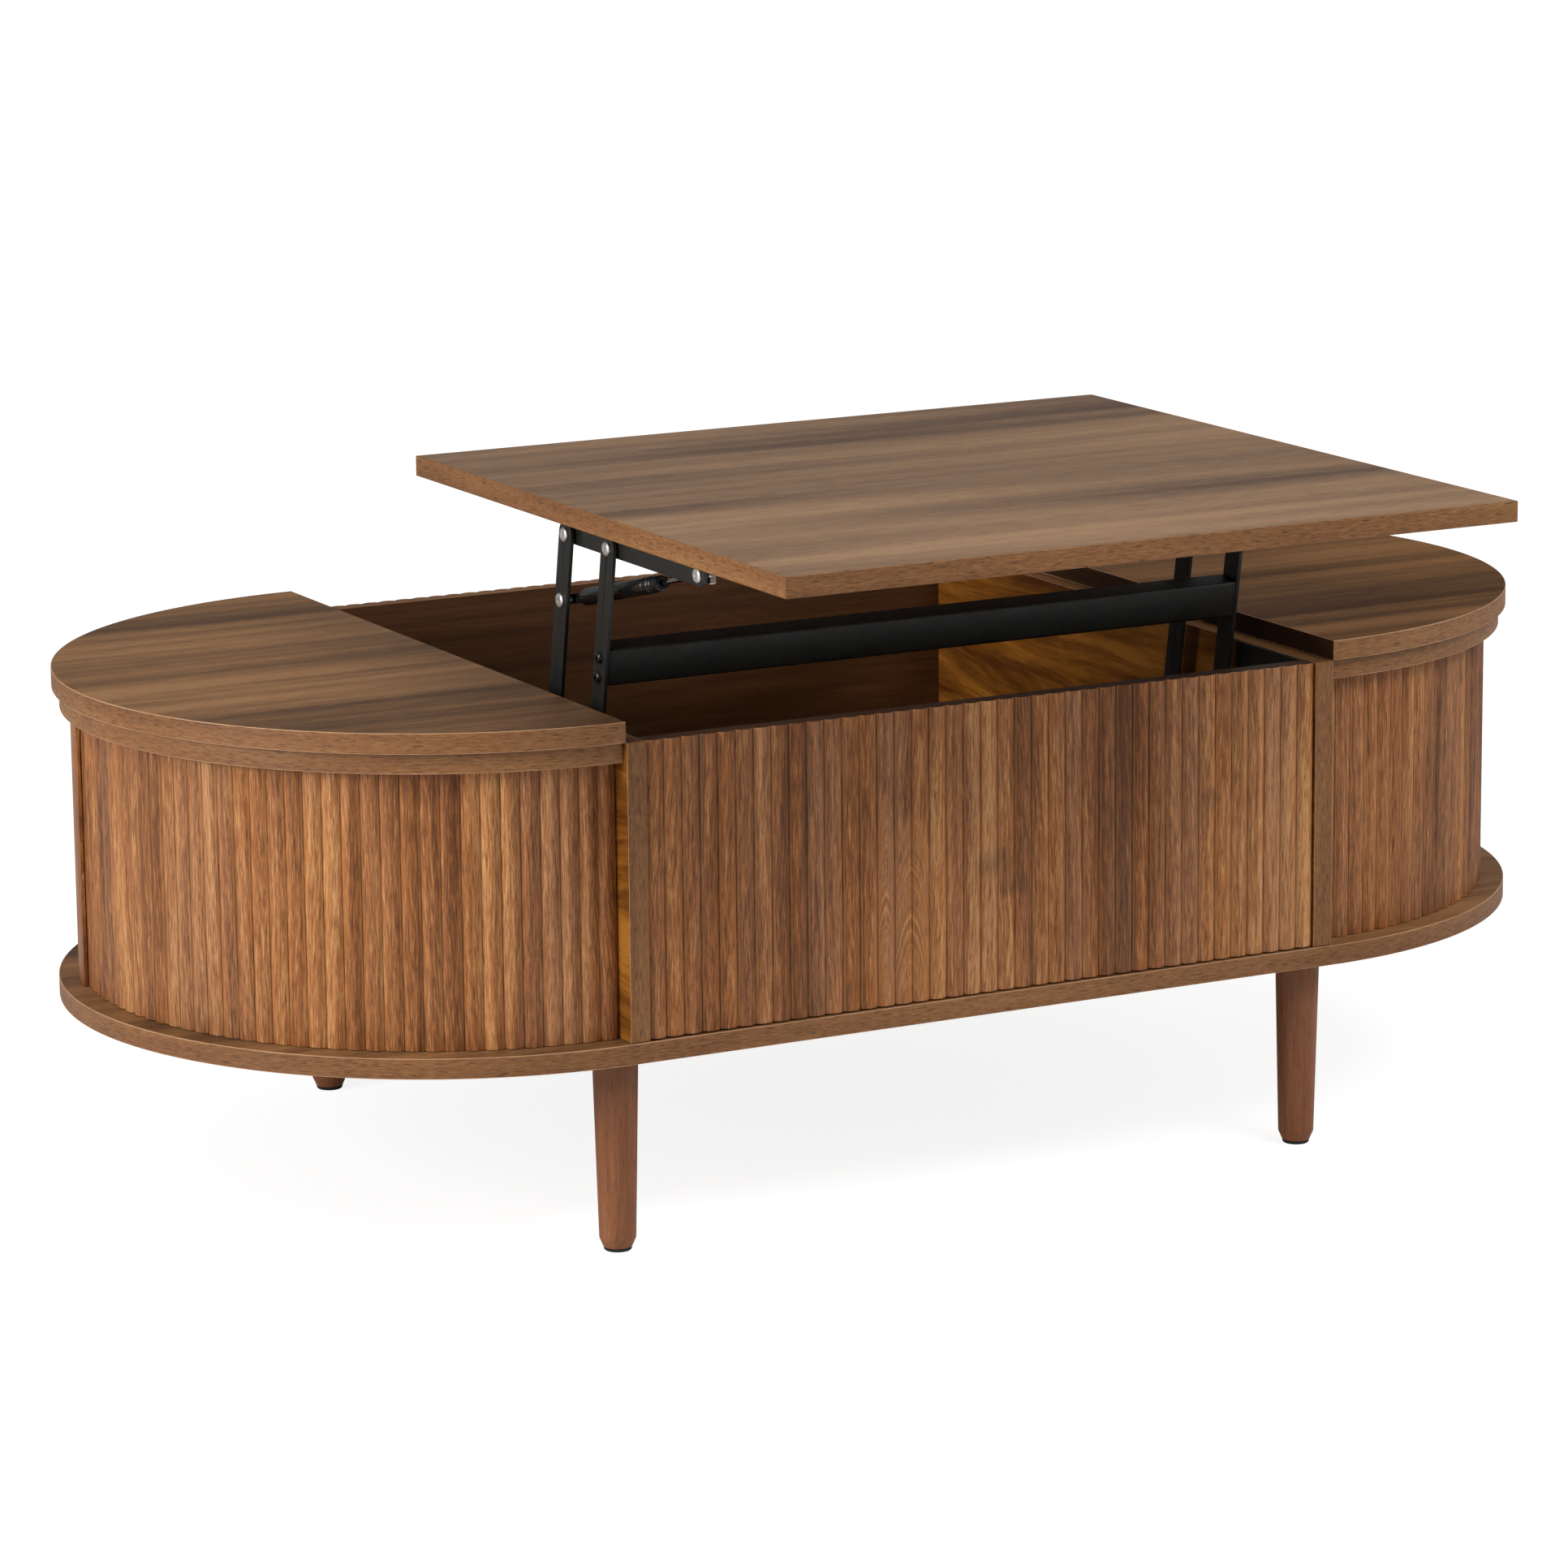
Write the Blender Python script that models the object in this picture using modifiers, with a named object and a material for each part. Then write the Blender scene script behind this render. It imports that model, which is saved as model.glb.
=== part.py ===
"""Oval lift top coffee table with reeded walls and a sliding tambour door at each end.

The table stands on Z = 0 with its long side along X, its front towards -Y and its lifting top raised.
"""
import math

import bmesh
import bpy
from mathutils import Matrix, Vector

# Driving dimensions, in metres
STRAIGHT_HALF = 0.300          # half the straight middle part, up to the partitions' outer faces
TOP_RADIUS = 0.300             # the half-round end tops
BASE_RADIUS = 0.302
SUB_TOP_RADIUS = 0.2945
BOARD = 0.0155                 # laminated board
GAP = 0.0003                   # between pieces that touch
TOP_Z = 0.403                  # closed table height
BASE_TOP_Z = 0.165
LIFT_FORWARD = 0.243           # how far the raised top has come forward
LIFT_UP = 0.143
LIFT_SIDE_GAP = 0.0012         # beside the end tops
PARTITION_HALF_DEPTH = 0.3005
PANEL_BOTTOM_GAP = 0.0012

REED_PITCH = 0.01455
REED_DEPTH = 0.003
REED_STEPS = 4

DOOR_CREST_RADIUS = 0.2835
DOOR_INNER_RADIUS = 0.2765
DOOR_REEDS = 36
TONGUE_RADII = (0.2775, 0.2800)
TONGUE_LENGTH = 0.0033
GROOVE_SPACE = 0.0006
GROOVE_DEPTH = 0.004
BACK_INNER_RADIUS = 0.284
BACK_THICKNESS = 0.003
BACK_SEAM_ANGLE = 13.0         # degrees behind the end's outermost point

LEG_X = 0.2945
LEG_Y = 0.262
LEG_TOP_RADIUS = 0.017
LEG_FOOT_RADIUS = 0.0135
LEG_TIP_RADIUS = 0.0108
LEG_SHOULDER_Z = 0.0092
GLIDE_HEIGHT = 0.0028
BOLT_RADIUS = 0.004

ARM_LEAN = math.radians(10.0)  # raised arms lean forward past upright
ARM_HALF_WIDTH = 0.010
ARM_SPACING = 0.070
REAR_TOP_PIVOT = (-0.145, 0.513)   # y and z, raised
ARM_FACES = (0.2685, 0.2715)       # distances from the table's middle plane
PIN_HOLE = 0.0033
PIN_RADIUS = 0.003
RIVET_HEAD = 0.0053
SCREW_HOLE = 0.0028
SCREW_RADIUS = 0.0025

TOP_BRACKET_FACES = (0.2642, 0.2667)
TOP_BRACKET_FLANGE_INNER = 0.240
TOP_BRACKET_DROP = 0.0245
TOP_BRACKET_REAR = -0.132
SIDE_BRACKET_FACES = (0.2735, 0.2760, 0.2817, 0.2842)
SIDE_BRACKET_Z = (0.280, 0.312, 0.322, 0.3866)
SIDE_BRACKET_Y = (-0.2838, -0.190, -0.200, -0.082)
STOP_RADIUS = 0.005
STOP_ALONG_ARM = 0.046

CROSSBAR_ALONG_ARM = 0.1254
CROSSBAR_HEIGHT = 0.0285
CROSSBAR_RISE = 0.0022         # its middle, past the middle of its screws
CROSSBAR_FRONT = 0.0097
CROSSBAR_BACK = 0.0103
CROSSBAR_SHEET = 0.0015
CROSSBAR_TAB = 0.002
CROSSBAR_END = 0.2682
SCREW_SPACING = 0.015

GAS_PIN_ALONG_ARM = 0.1658
GAS_RIVET = (-0.350, 0.514)        # y and z on the top bracket, raised
GAS_MIDDLE = 0.2565                # distance from the table's middle plane
GAS_TUBE_RADIUS = 0.0065
GAS_BORE_RADIUS = 0.0052
GAS_TUBE = (0.012, 0.1415)
GAS_ROD_RADIUS = 0.00225
GAS_ROD_INSIDE = 0.085
GAS_EYE_HALF_WIDTH = 0.0035

ROUND_STEPS = 24
SMALL_STEPS = 16

# Worked out from the dimensions above
CENTRE_Y = (TOP_RADIUS + LIFT_FORWARD - BASE_RADIUS) / 2   # centres the raised table on the origin
UNDER_TOP_Z = TOP_Z - BOARD
SUB_TOP_Z = UNDER_TOP_Z - BOARD
INNER_X = STRAIGHT_HALF - BOARD
SIDES = {"left": -1, "right": 1}
ENDS = {"front": -1, "back": 1}


# Scene, materials and placing

def clear_scene():
    for obj in list(bpy.data.objects):
        bpy.data.objects.remove(obj, do_unlink=True)


def collection(name):
    made = bpy.data.collections.new(name)
    bpy.context.scene.collection.children.link(made)
    return made


def material(name, colour, roughness, metallic=0.0):
    made = bpy.data.materials.new(name)
    made.use_nodes = True
    shader = made.node_tree.nodes["Principled BSDF"]
    shader.inputs["Base Color"].default_value = (*colour, 1.0)
    shader.inputs["Roughness"].default_value = roughness
    shader.inputs["Metallic"].default_value = metallic
    return made


clear_scene()
PARTS = collection("lift_top_coffee_table")
TOOLS = collection("cutters")

WALNUT_TOP = (0.115, 0.068, 0.042)
WALNUT_EDGE = (0.230, 0.115, 0.060)
WALNUT_REEDED = (0.270, 0.125, 0.058)
LEG_STAIN = (0.170, 0.075, 0.042)
SATIN_BLACK = (0.012, 0.012, 0.011)
ZINC = (0.620, 0.620, 0.640)
DARK_FELT = (0.020, 0.018, 0.018)


def empty(name, location, parent=None, rotation=(0.0, 0.0, 0.0)):
    made = bpy.data.objects.new(name, None)
    made.location = location
    made.rotation_euler = rotation
    made.parent = parent
    made.empty_display_size = 0.03
    PARTS.objects.link(made)
    return made


def place(name, mesh, parent, location=(0.0, 0.0, 0.0), group=None):
    made = bpy.data.objects.new(name, mesh)
    made.location = location
    made.parent = parent
    (group or PARTS).objects.link(made)
    return made


def finish(obj, colour, roughness, metallic=0.0, smooth=False):
    obj.data.materials.clear()
    obj.data.materials.append(material(obj.name, colour, roughness, metallic))
    if smooth:
        obj.data.shade_smooth()
        obj.data.set_sharp_from_angle(angle=math.radians(35))
    return obj


def as_tool(obj):
    obj.hide_render = True
    obj.display_type = "WIRE"
    return obj


def boolean(obj, tool, operation="DIFFERENCE"):
    step = obj.modifiers.new(tool.name, "BOOLEAN")
    step.operation = operation
    step.solver = "EXACT"
    step.object = tool
    return obj


# Basic solids

def box_mesh(name, low, high):
    mesh = bpy.data.meshes.new(name)
    shape = bmesh.new()
    bmesh.ops.create_cube(shape, size=1.0)
    low, high = Vector(low), Vector(high)
    bmesh.ops.scale(shape, vec=high - low, verts=shape.verts)
    bmesh.ops.translate(shape, vec=(low + high) / 2, verts=shape.verts)
    shape.to_mesh(mesh)
    shape.free()
    return mesh


def slab_mesh(name, outlines, low, high, along="Z"):
    """A flat plate from closed outlines, the first one its edge and the others its holes.

    along Z, an outline's points are x and y; along X, they are y and z.
    """
    curve = bpy.data.curves.new(name, "CURVE")
    curve.dimensions = "2D"
    curve.fill_mode = "BOTH"
    curve.extrude = (high - low) / 2
    for outline in outlines:
        spline = curve.splines.new("POLY")
        spline.points.add(len(outline) - 1)
        for point, (x, y) in zip(spline.points, outline):
            point.co = (x, y, 0.0, 1.0)
        spline.use_cyclic_u = True
    guide = bpy.data.objects.new(name, curve)
    TOOLS.objects.link(guide)
    graph = bpy.context.evaluated_depsgraph_get()
    mesh = bpy.data.meshes.new_from_object(guide.evaluated_get(graph))
    bpy.data.objects.remove(guide, do_unlink=True)
    bpy.data.curves.remove(curve)
    shape = bmesh.new()
    shape.from_mesh(mesh)
    bmesh.ops.remove_doubles(shape, verts=shape.verts, dist=0.00001)
    bmesh.ops.translate(shape, vec=(0.0, 0.0, (low + high) / 2), verts=shape.verts)
    if along == "X":
        turn = Matrix(((0, 0, 1, 0), (1, 0, 0, 0), (0, 1, 0, 0), (0, 0, 0, 1)))
        bmesh.ops.transform(shape, matrix=turn, verts=shape.verts)
    bmesh.ops.recalc_face_normals(shape, faces=shape.faces)
    shape.to_mesh(mesh)
    shape.free()
    mesh.name = name
    return mesh


def turned_object(name, profile, parent, location=(0, 0, 0), rotation=(0, 0, 0),
                  steps=ROUND_STEPS, group=None):
    """A round piece about local Z. The profile's points are radius and height, down its outer side."""
    mesh = bpy.data.meshes.new(name)
    shape = bmesh.new()
    points = [shape.verts.new((radius, 0.0, height)) for radius, height in profile]
    for first, second in zip(points, points[1:]):
        shape.edges.new((first, second))
    shape.to_mesh(mesh)
    shape.free()
    made = place(name, mesh, parent, location, group)
    made.rotation_euler = rotation
    screw = made.modifiers.new("Turn", "SCREW")
    screw.axis = "Z"
    screw.steps = steps
    screw.render_steps = steps
    screw.use_merge_vertices = True
    screw.merge_threshold = 0.00001
    screw.use_smooth_shade = True
    return made


def rod_tool(name, parent, start, end, radius, steps=SMALL_STEPS):
    """A round cutter from one point to another."""
    start, end = Vector(start), Vector(end)
    length = (end - start).length
    profile = ((0.0, length), (radius, length), (radius, 0.0), (0.0, 0.0))
    made = turned_object(name, profile, parent, start, steps=steps, group=TOOLS)
    made.rotation_mode = "QUATERNION"
    made.rotation_quaternion = (end - start).to_track_quat("Z", "Y")
    return as_tool(made)


def arc(centre, radius, first, last, steps):
    """Points on an arc, both ends included; angles in degrees."""
    points = []
    for index in range(steps + 1):
        angle = math.radians(first + (last - first) * index / steps)
        points.append((centre[0] + radius * math.cos(angle), centre[1] + radius * math.sin(angle)))
    return points


def ring(centre, radius, steps=SMALL_STEPS):
    return arc(centre, radius, 0.0, 360.0 * (steps - 1) / steps, steps - 1)


def rounded(points, radius, steps=4):
    """A closed outline whose corners are rounded off."""
    outline = []
    for index, point in enumerate(points):
        here = Vector(point)
        to_last = (Vector(points[index - 1]) - here).normalized()
        to_next = (Vector(points[(index + 1) % len(points)]) - here).normalized()
        reach = radius / math.tan(to_last.angle(to_next) / 2)
        start, end = here + to_last * reach, here + to_next * reach
        for step in range(steps + 1):
            share = step / steps
            bend = start.lerp(here, share).lerp(here.lerp(end, share), share)
            outline.append((bend.x, bend.y))
    return outline


def reed_height(share):
    """Height of a reed's round face above its valleys, at a share of its width."""
    radius = ((REED_PITCH / 2) ** 2 + REED_DEPTH ** 2) / (2 * REED_DEPTH)
    across = (share - 0.5) * REED_PITCH
    return math.sqrt(radius ** 2 - across ** 2) - (radius - REED_DEPTH)


# Case

def oval(radius):
    left = arc((-STRAIGHT_HALF, 0.0), radius, 90.0, 270.0, 36)
    right = arc((STRAIGHT_HALF, 0.0), radius, -90.0, 90.0, 36)
    return left + right


def half_round(side, radius):
    centre = (side * (STRAIGHT_HALF + GAP), 0.0)
    return arc(centre, radius, -90.0 if side > 0 else 90.0, 90.0 if side > 0 else 270.0, 36)


def ring_sector(side, inner, outer, first, last, steps):
    """Part of a ring round an end's centre. Angles run from the front round to the back, 0 to 180."""
    centre = (side * STRAIGHT_HALF, 0.0)
    outside = arc((0.0, 0.0), outer, first - 90.0, last - 90.0, steps)
    inside = arc((0.0, 0.0), inner, last - 90.0, first - 90.0, steps)
    return [(centre[0] + side * x, y) for x, y in outside + inside]


def groove_tool(side, label, low, high, parent, past_ends):
    """A door groove's cutter, run some degrees past the partition's face at both ends."""
    radii = (TONGUE_RADII[0] - GROOVE_SPACE, TONGUE_RADII[1] + GROOVE_SPACE)
    outline = ring_sector(side, *radii, -past_ends, 180.0 + past_ends, 48)
    return as_tool(place(label, slab_mesh(label, [outline], low, high), parent, group=TOOLS))


def make_base(table):
    board = slab_mesh("base_board", [oval(BASE_RADIUS)], BASE_TOP_Z - BOARD, BASE_TOP_Z)
    base = place("base_board", board, table)
    for name, side in SIDES.items():
        floor = BASE_TOP_Z - GROOVE_DEPTH
        boolean(base, groove_tool(side, "base_groove_" + name, floor, BASE_TOP_Z + 0.002, table, -0.06))
        for end in ENDS.values():
            x, y = side * LEG_X, end * LEG_Y
            top = BASE_TOP_Z - BOARD + 0.0105
            tool = rod_tool("base_bolt_hole", table, (x, y, top - 0.02), (x, y, top), BOLT_RADIUS + GAP)
            boolean(base, tool)
    return finish(base, WALNUT_TOP, 0.45)


def make_partition(name, side, table):
    low = (min(side * INNER_X, side * STRAIGHT_HALF), -PARTITION_HALF_DEPTH, BASE_TOP_Z + GAP)
    high = (max(side * INNER_X, side * STRAIGHT_HALF), PARTITION_HALF_DEPTH, UNDER_TOP_Z - GAP)
    label = "partition_" + name
    return finish(place(label, box_mesh(label, low, high), table), WALNUT_EDGE, 0.5)


def reeded_edge(half_width):
    """A reeded sheet's outer edge from -half_width to half_width, as x and height above the valleys."""
    steps = round(2 * half_width / REED_PITCH * REED_STEPS)
    edge = []
    for index in range(steps + 1):
        x = -half_width + 2 * half_width * index / steps
        edge.append((x, reed_height((index % REED_STEPS) / REED_STEPS)))
    return edge


def make_panel(name, end, table):
    half_width = INNER_X - GAP
    crest = TOP_RADIUS
    edge = [(x, end * (crest - REED_DEPTH + height)) for x, height in reeded_edge(half_width)]
    inner = end * (crest - BOARD)
    outline = edge + [(half_width, inner), (-half_width, inner)]
    mesh = slab_mesh(name, [outline], BASE_TOP_Z + PANEL_BOTTOM_GAP, UNDER_TOP_Z - GAP)
    return finish(place(name, mesh, table), WALNUT_REEDED, 0.5)


def make_end(name, side, table):
    """One end's top board and the board under it, which holds the door's upper groove."""
    end_top = "end_top_" + name
    top = place(end_top, slab_mesh(end_top, [half_round(side, TOP_RADIUS)], UNDER_TOP_Z, TOP_Z), table)
    finish(top, WALNUT_TOP, 0.45)
    sub_top = "sub_top_" + name
    outline = half_round(side, SUB_TOP_RADIUS)
    under = place(sub_top, slab_mesh(sub_top, [outline], SUB_TOP_Z, UNDER_TOP_Z - GAP), table)
    roof = SUB_TOP_Z + GROOVE_DEPTH
    boolean(under, groove_tool(side, "top_groove_" + name, SUB_TOP_Z - 0.002, roof, table, 1.0))
    finish(under, WALNUT_EDGE, 0.5)
    back = "curved_back_" + name
    outer = BACK_INNER_RADIUS + BACK_THICKNESS
    sector = ring_sector(side, BACK_INNER_RADIUS, outer, 90.0 + BACK_SEAM_ANGLE, 179.9, 20)
    mesh = slab_mesh(back, [sector], BASE_TOP_Z + GAP, SUB_TOP_Z - GAP)
    return finish(place(back, mesh, table), WALNUT_REEDED, 0.5)


def make_door(name, side, table):
    """A reeded tambour door: slats on a curved sheet, with a tongue above and below in the grooves."""
    joint = empty("door_joint_" + name, (side * STRAIGHT_HALF, 0.0, 0.0), table)
    start = 0.1
    step = math.degrees(REED_PITCH / DOOR_CREST_RADIUS) / REED_STEPS
    outside = []
    for index in range(DOOR_REEDS * REED_STEPS + 1):
        radius = DOOR_CREST_RADIUS - REED_DEPTH + reed_height((index % REED_STEPS) / REED_STEPS)
        angle = math.radians(start + index * step - 90.0)
        outside.append((side * radius * math.cos(angle), radius * math.sin(angle)))
    end = start + DOOR_REEDS * REED_STEPS * step
    inside = arc((0.0, 0.0), DOOR_INNER_RADIUS, end - 90.0, start - 90.0, 36)
    outline = outside + [(side * x, y) for x, y in inside]
    label = "tambour_door_" + name
    door = place(label, slab_mesh(label, [outline], BASE_TOP_Z + 0.0005, SUB_TOP_Z - 0.0005), joint)
    tongue = ring_sector(side, *TONGUE_RADII, start + 0.5, end - 0.5, 36)
    tongue = [(x - side * STRAIGHT_HALF, y) for x, y in tongue]
    low, high = BASE_TOP_Z - TONGUE_LENGTH, SUB_TOP_Z + TONGUE_LENGTH
    mesh = slab_mesh("door_tongue_" + name, [tongue], low, high)
    boolean(door, as_tool(place("door_tongue_" + name, mesh, joint, group=TOOLS)), "UNION")
    return finish(door, WALNUT_REEDED, 0.5)


# Legs

def make_leg(name, x, y, table):
    under = BASE_TOP_Z - BOARD - GAP
    hole_floor = under - 0.030
    hole = BOLT_RADIUS + GAP
    foot = GLIDE_HEIGHT + GAP
    leg_profile = ((0.0, hole_floor), (hole, hole_floor), (hole, under), (LEG_TOP_RADIUS, under),
                   (LEG_FOOT_RADIUS, LEG_SHOULDER_Z), (LEG_TIP_RADIUS, foot), (0.0, foot))
    leg = turned_object("leg_" + name, leg_profile, table, (x, y, 0.0))
    finish(leg, LEG_STAIN, 0.45, smooth=True)
    glide_profile = ((0.0, GLIDE_HEIGHT), (LEG_TIP_RADIUS - 0.0003, GLIDE_HEIGHT), (0.0102, 0.0010),
                     (0.0080, 0.0), (0.0, 0.0))
    glide = turned_object("foot_glide_" + name, glide_profile, table, (x, y, 0.0))
    finish(glide, DARK_FELT, 0.8, smooth=True)
    top, bottom = under + 0.0095, hole_floor + 0.002
    bolt_profile = ((0.0, top), (BOLT_RADIUS, top), (BOLT_RADIUS, bottom), (0.0, bottom))
    bolt = turned_object("leg_bolt_" + name, bolt_profile, table, (x, y, 0.0), steps=12)
    finish(bolt, ZINC, 0.35, 1.0, smooth=True)


# Lift mechanism

def arm_vector(along, behind=0.0, lean=ARM_LEAN):
    """y and z of a step along a raised arm and square to it, towards the back."""
    y = -along * math.sin(lean) + behind * math.cos(lean)
    z = along * math.cos(lean) + behind * math.sin(lean)
    return Vector((y, z))


def lift_geometry():
    """The rear arm's lower pivot: as far from its raised upper end as from its closed one."""
    raised = Vector(REAR_TOP_PIVOT)
    travel = Vector((LIFT_FORWARD, -LIFT_UP))
    down_arm = -arm_vector(1.0)
    length = travel.length_squared / (2 * travel.dot(down_arm))
    pivot = raised + down_arm * length
    closed = raised + travel - pivot
    swing = math.atan2(*reversed(arm_vector(1.0))) - math.atan2(closed.y, closed.x)
    return pivot, length, swing


REAR_PIVOT, ARM_LENGTH, LIFT_SWING = lift_geometry()
FRONT_PIVOT = REAR_PIVOT - Vector((ARM_SPACING, 0.0))
FRONT_TOP_PIVOT = Vector(REAR_TOP_PIVOT) - Vector((ARM_SPACING, 0.0))
GAS_PIN = REAR_PIVOT + arm_vector(GAS_PIN_ALONG_ARM)
GAS_REACH = Vector(GAS_RIVET) - GAS_PIN
GAS_TILT = math.atan2(-GAS_REACH.x, GAS_REACH.y)


def outboard(side):
    """Turns a piece's local Z to point away from the table's middle."""
    return (0.0, side * math.pi / 2, 0.0)


def make_pin(name, side, parent, yz, outer, inner, head_in=True):
    """A rivet across the mechanism, from outer to inner distance from the middle plane."""
    profile = [(0.0, outer), (RIVET_HEAD - 0.0014, outer), (RIVET_HEAD, outer - 0.0009),
               (RIVET_HEAD, outer - 0.0020), (PIN_RADIUS, outer - 0.0020)]
    if head_in:
        profile += [(PIN_RADIUS, inner + 0.0018), (0.0045, inner + 0.0018), (0.0045, inner + 0.0006),
                    (0.0038, inner), (0.0, inner)]
    else:
        profile += [(PIN_RADIUS, inner), (0.0, inner)]
    pin = turned_object(name, profile, parent, (0.0, *yz), outboard(side), steps=SMALL_STEPS)
    return finish(pin, ZINC, 0.3, 1.0, smooth=True)


def make_arm(name, side, parent, holes):
    """A flat steel link along the joint's local Z, with a round end about each pivot."""
    outline = arc((0.0, 0.0), ARM_HALF_WIDTH, 180.0, 360.0, 12)
    outline += arc((0.0, ARM_LENGTH), ARM_HALF_WIDTH, 0.0, 180.0, 12)
    inner, outer = ARM_FACES
    low, high = sorted((side * inner, side * outer))
    rings = [ring((0.0, height), radius) for height, radius in holes]
    arm = place(name, slab_mesh(name, [outline] + rings, low, high, along="X"), parent)
    return finish(arm, SATIN_BLACK, 0.4, 0.3)


def make_side_bracket(name, side, table):
    """A channel screwed to the partition: its inner wall holds the arms, and its front ear their stop."""
    flange_in, flange_out, plate_in, plate_out = SIDE_BRACKET_FACES
    bottom, flange_top, rail_top, ear_top = SIDE_BRACKET_Z
    front, ear_back, flange_front, back = SIDE_BRACKET_Y
    corners = [(front, bottom), (back, bottom), (back, rail_top), (ear_back, rail_top),
               (ear_back, ear_top), (front, ear_top)]
    label = "side_bracket_" + name
    low, high = sorted((side * flange_in, side * plate_out))
    bracket = place(label, slab_mesh(label, [rounded(corners, 0.005)], low, high, along="X"), table)
    inner = flange_in - 0.01
    ahead, behind, above = front - 0.01, back + 0.01, ear_top + 0.01
    spaces = {
        "channel": ((flange_out, ahead, bottom + 0.0025), (plate_in, behind, above)),
        "above_flange": ((inner, ahead, flange_top), (plate_in, behind, above)),
        "before_flange": ((inner, ahead, bottom - 0.01), (plate_in, flange_front, above)),
    }
    for space, (near, far) in spaces.items():
        low = (min(side * near[0], side * far[0]), near[1], near[2])
        high = (max(side * near[0], side * far[0]), far[1], far[2])
        tool = place(f"{space}_{name}", box_mesh(f"{space}_{name}", low, high), table, group=TOOLS)
        boolean(bracket, as_tool(tool))
    for pivot in (FRONT_PIVOT, REAR_PIVOT):
        start = (side * (flange_in - 0.004), *pivot)
        end = (side * (flange_out + 0.003), *pivot)
        boolean(bracket, rod_tool("side_bracket_hole_" + name, table, start, end, PIN_HOLE))
    clearance = ARM_HALF_WIDTH + STOP_RADIUS + 0.0004
    stop = FRONT_PIVOT + arm_vector(STOP_ALONG_ARM, -clearance)
    start = (side * ARM_FACES[0], *stop)
    end = (side * (plate_in + 0.001), *stop)
    boolean(bracket, rod_tool("arm_stop_" + name, table, start, end, STOP_RADIUS), "UNION")
    return finish(bracket, SATIN_BLACK, 0.4, 0.3)


def make_top_bracket(name, side, parent):
    """An angle under the lifting top: an upright plate for the pivots and a flange for its screws."""
    origin = parent.matrix_world.translation - Vector((0.0, CENTRE_Y, 0.0))
    shift = Vector((-origin.y, -origin.z))
    under = UNDER_TOP_Z + LIFT_UP
    plate_in, plate_out = TOP_BRACKET_FACES
    front = GAS_RIVET[0] - 0.010
    corner = 0.009
    low_z = under - TOP_BRACKET_DROP + corner
    outline = arc((front + corner, low_z), corner, 180.0, 270.0, 5)
    outline += arc((TOP_BRACKET_REAR - corner, low_z), corner, 270.0, 360.0, 5)
    outline += [(TOP_BRACKET_REAR, under - 2 * GAP), (front, under - 2 * GAP)]
    outline = [tuple(Vector(point) + shift) for point in outline]
    label = "top_bracket_" + name
    low, high = sorted((side * TOP_BRACKET_FLANGE_INNER, side * plate_out))
    bracket = place(label, slab_mesh(label, [outline], low, high, along="X"), parent)
    near, far = sorted((side * (TOP_BRACKET_FLANGE_INNER - 0.01), side * plate_in))
    low = (near, front + shift.x - 0.01, under - TOP_BRACKET_DROP + shift.y - 0.01)
    high = (far, TOP_BRACKET_REAR + shift.x + 0.01, under - 2 * GAP - 0.0022 + shift.y)
    tool = place("angle_space_" + name, box_mesh("angle_space_" + name, low, high), parent, group=TOOLS)
    boolean(bracket, as_tool(tool))
    for pivot in (Vector(REAR_TOP_PIVOT), FRONT_TOP_PIVOT, Vector(GAS_RIVET)):
        spot = pivot + shift
        start, end = (side * (plate_in - 0.004), *spot), (side * (plate_out + 0.004), *spot)
        boolean(bracket, rod_tool("top_bracket_hole_" + name, parent, start, end, PIN_HOLE))
    return finish(bracket, SATIN_BLACK, 0.4, 0.3)


def make_crossbar(parent):
    """A channel open at the back, closed by an end tab that bolts to each front arm."""
    half = CROSSBAR_HEIGHT / 2
    middle = CROSSBAR_ALONG_ARM + CROSSBAR_RISE
    low = (-CROSSBAR_END, -CROSSBAR_FRONT, middle - half)
    high = (CROSSBAR_END, CROSSBAR_BACK, middle + half)
    bar = place("crossbar", box_mesh("crossbar", low, high), parent)
    inside = CROSSBAR_END - CROSSBAR_TAB
    low = (-inside, CROSSBAR_SHEET - CROSSBAR_FRONT, middle - half + CROSSBAR_SHEET)
    high = (inside, CROSSBAR_BACK + 0.01, middle + half - CROSSBAR_SHEET)
    space = place("crossbar_space", box_mesh("crossbar_space", low, high), parent, group=TOOLS)
    boolean(bar, as_tool(space))
    for height in screw_heights():
        tool = rod_tool("crossbar_hole", parent, (-0.30, 0.0, height), (0.30, 0.0, height), SCREW_HOLE)
        boolean(bar, tool)
    return finish(bar, SATIN_BLACK, 0.4, 0.3)


def screw_heights():
    return (CROSSBAR_ALONG_ARM - SCREW_SPACING / 2, CROSSBAR_ALONG_ARM + SCREW_SPACING / 2)


def make_crossbar_screw(name, side, height, parent):
    outer = ARM_FACES[1] + GAP
    tip = CROSSBAR_END - CROSSBAR_TAB - 0.003
    profile = ((0.0, outer + 0.0012), (0.0016, outer + 0.0012), (0.0016, outer + 0.0028),
               (0.0030, outer + 0.0028), (0.0045, outer + 0.0012), (0.0045, outer), (SCREW_RADIUS, outer),
               (SCREW_RADIUS, tip), (0.0, tip))
    screw = turned_object(name, profile, parent, (0.0, 0.0, height), outboard(side), steps=SMALL_STEPS)
    return finish(screw, SATIN_BLACK, 0.3, 0.8, smooth=True)


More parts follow.
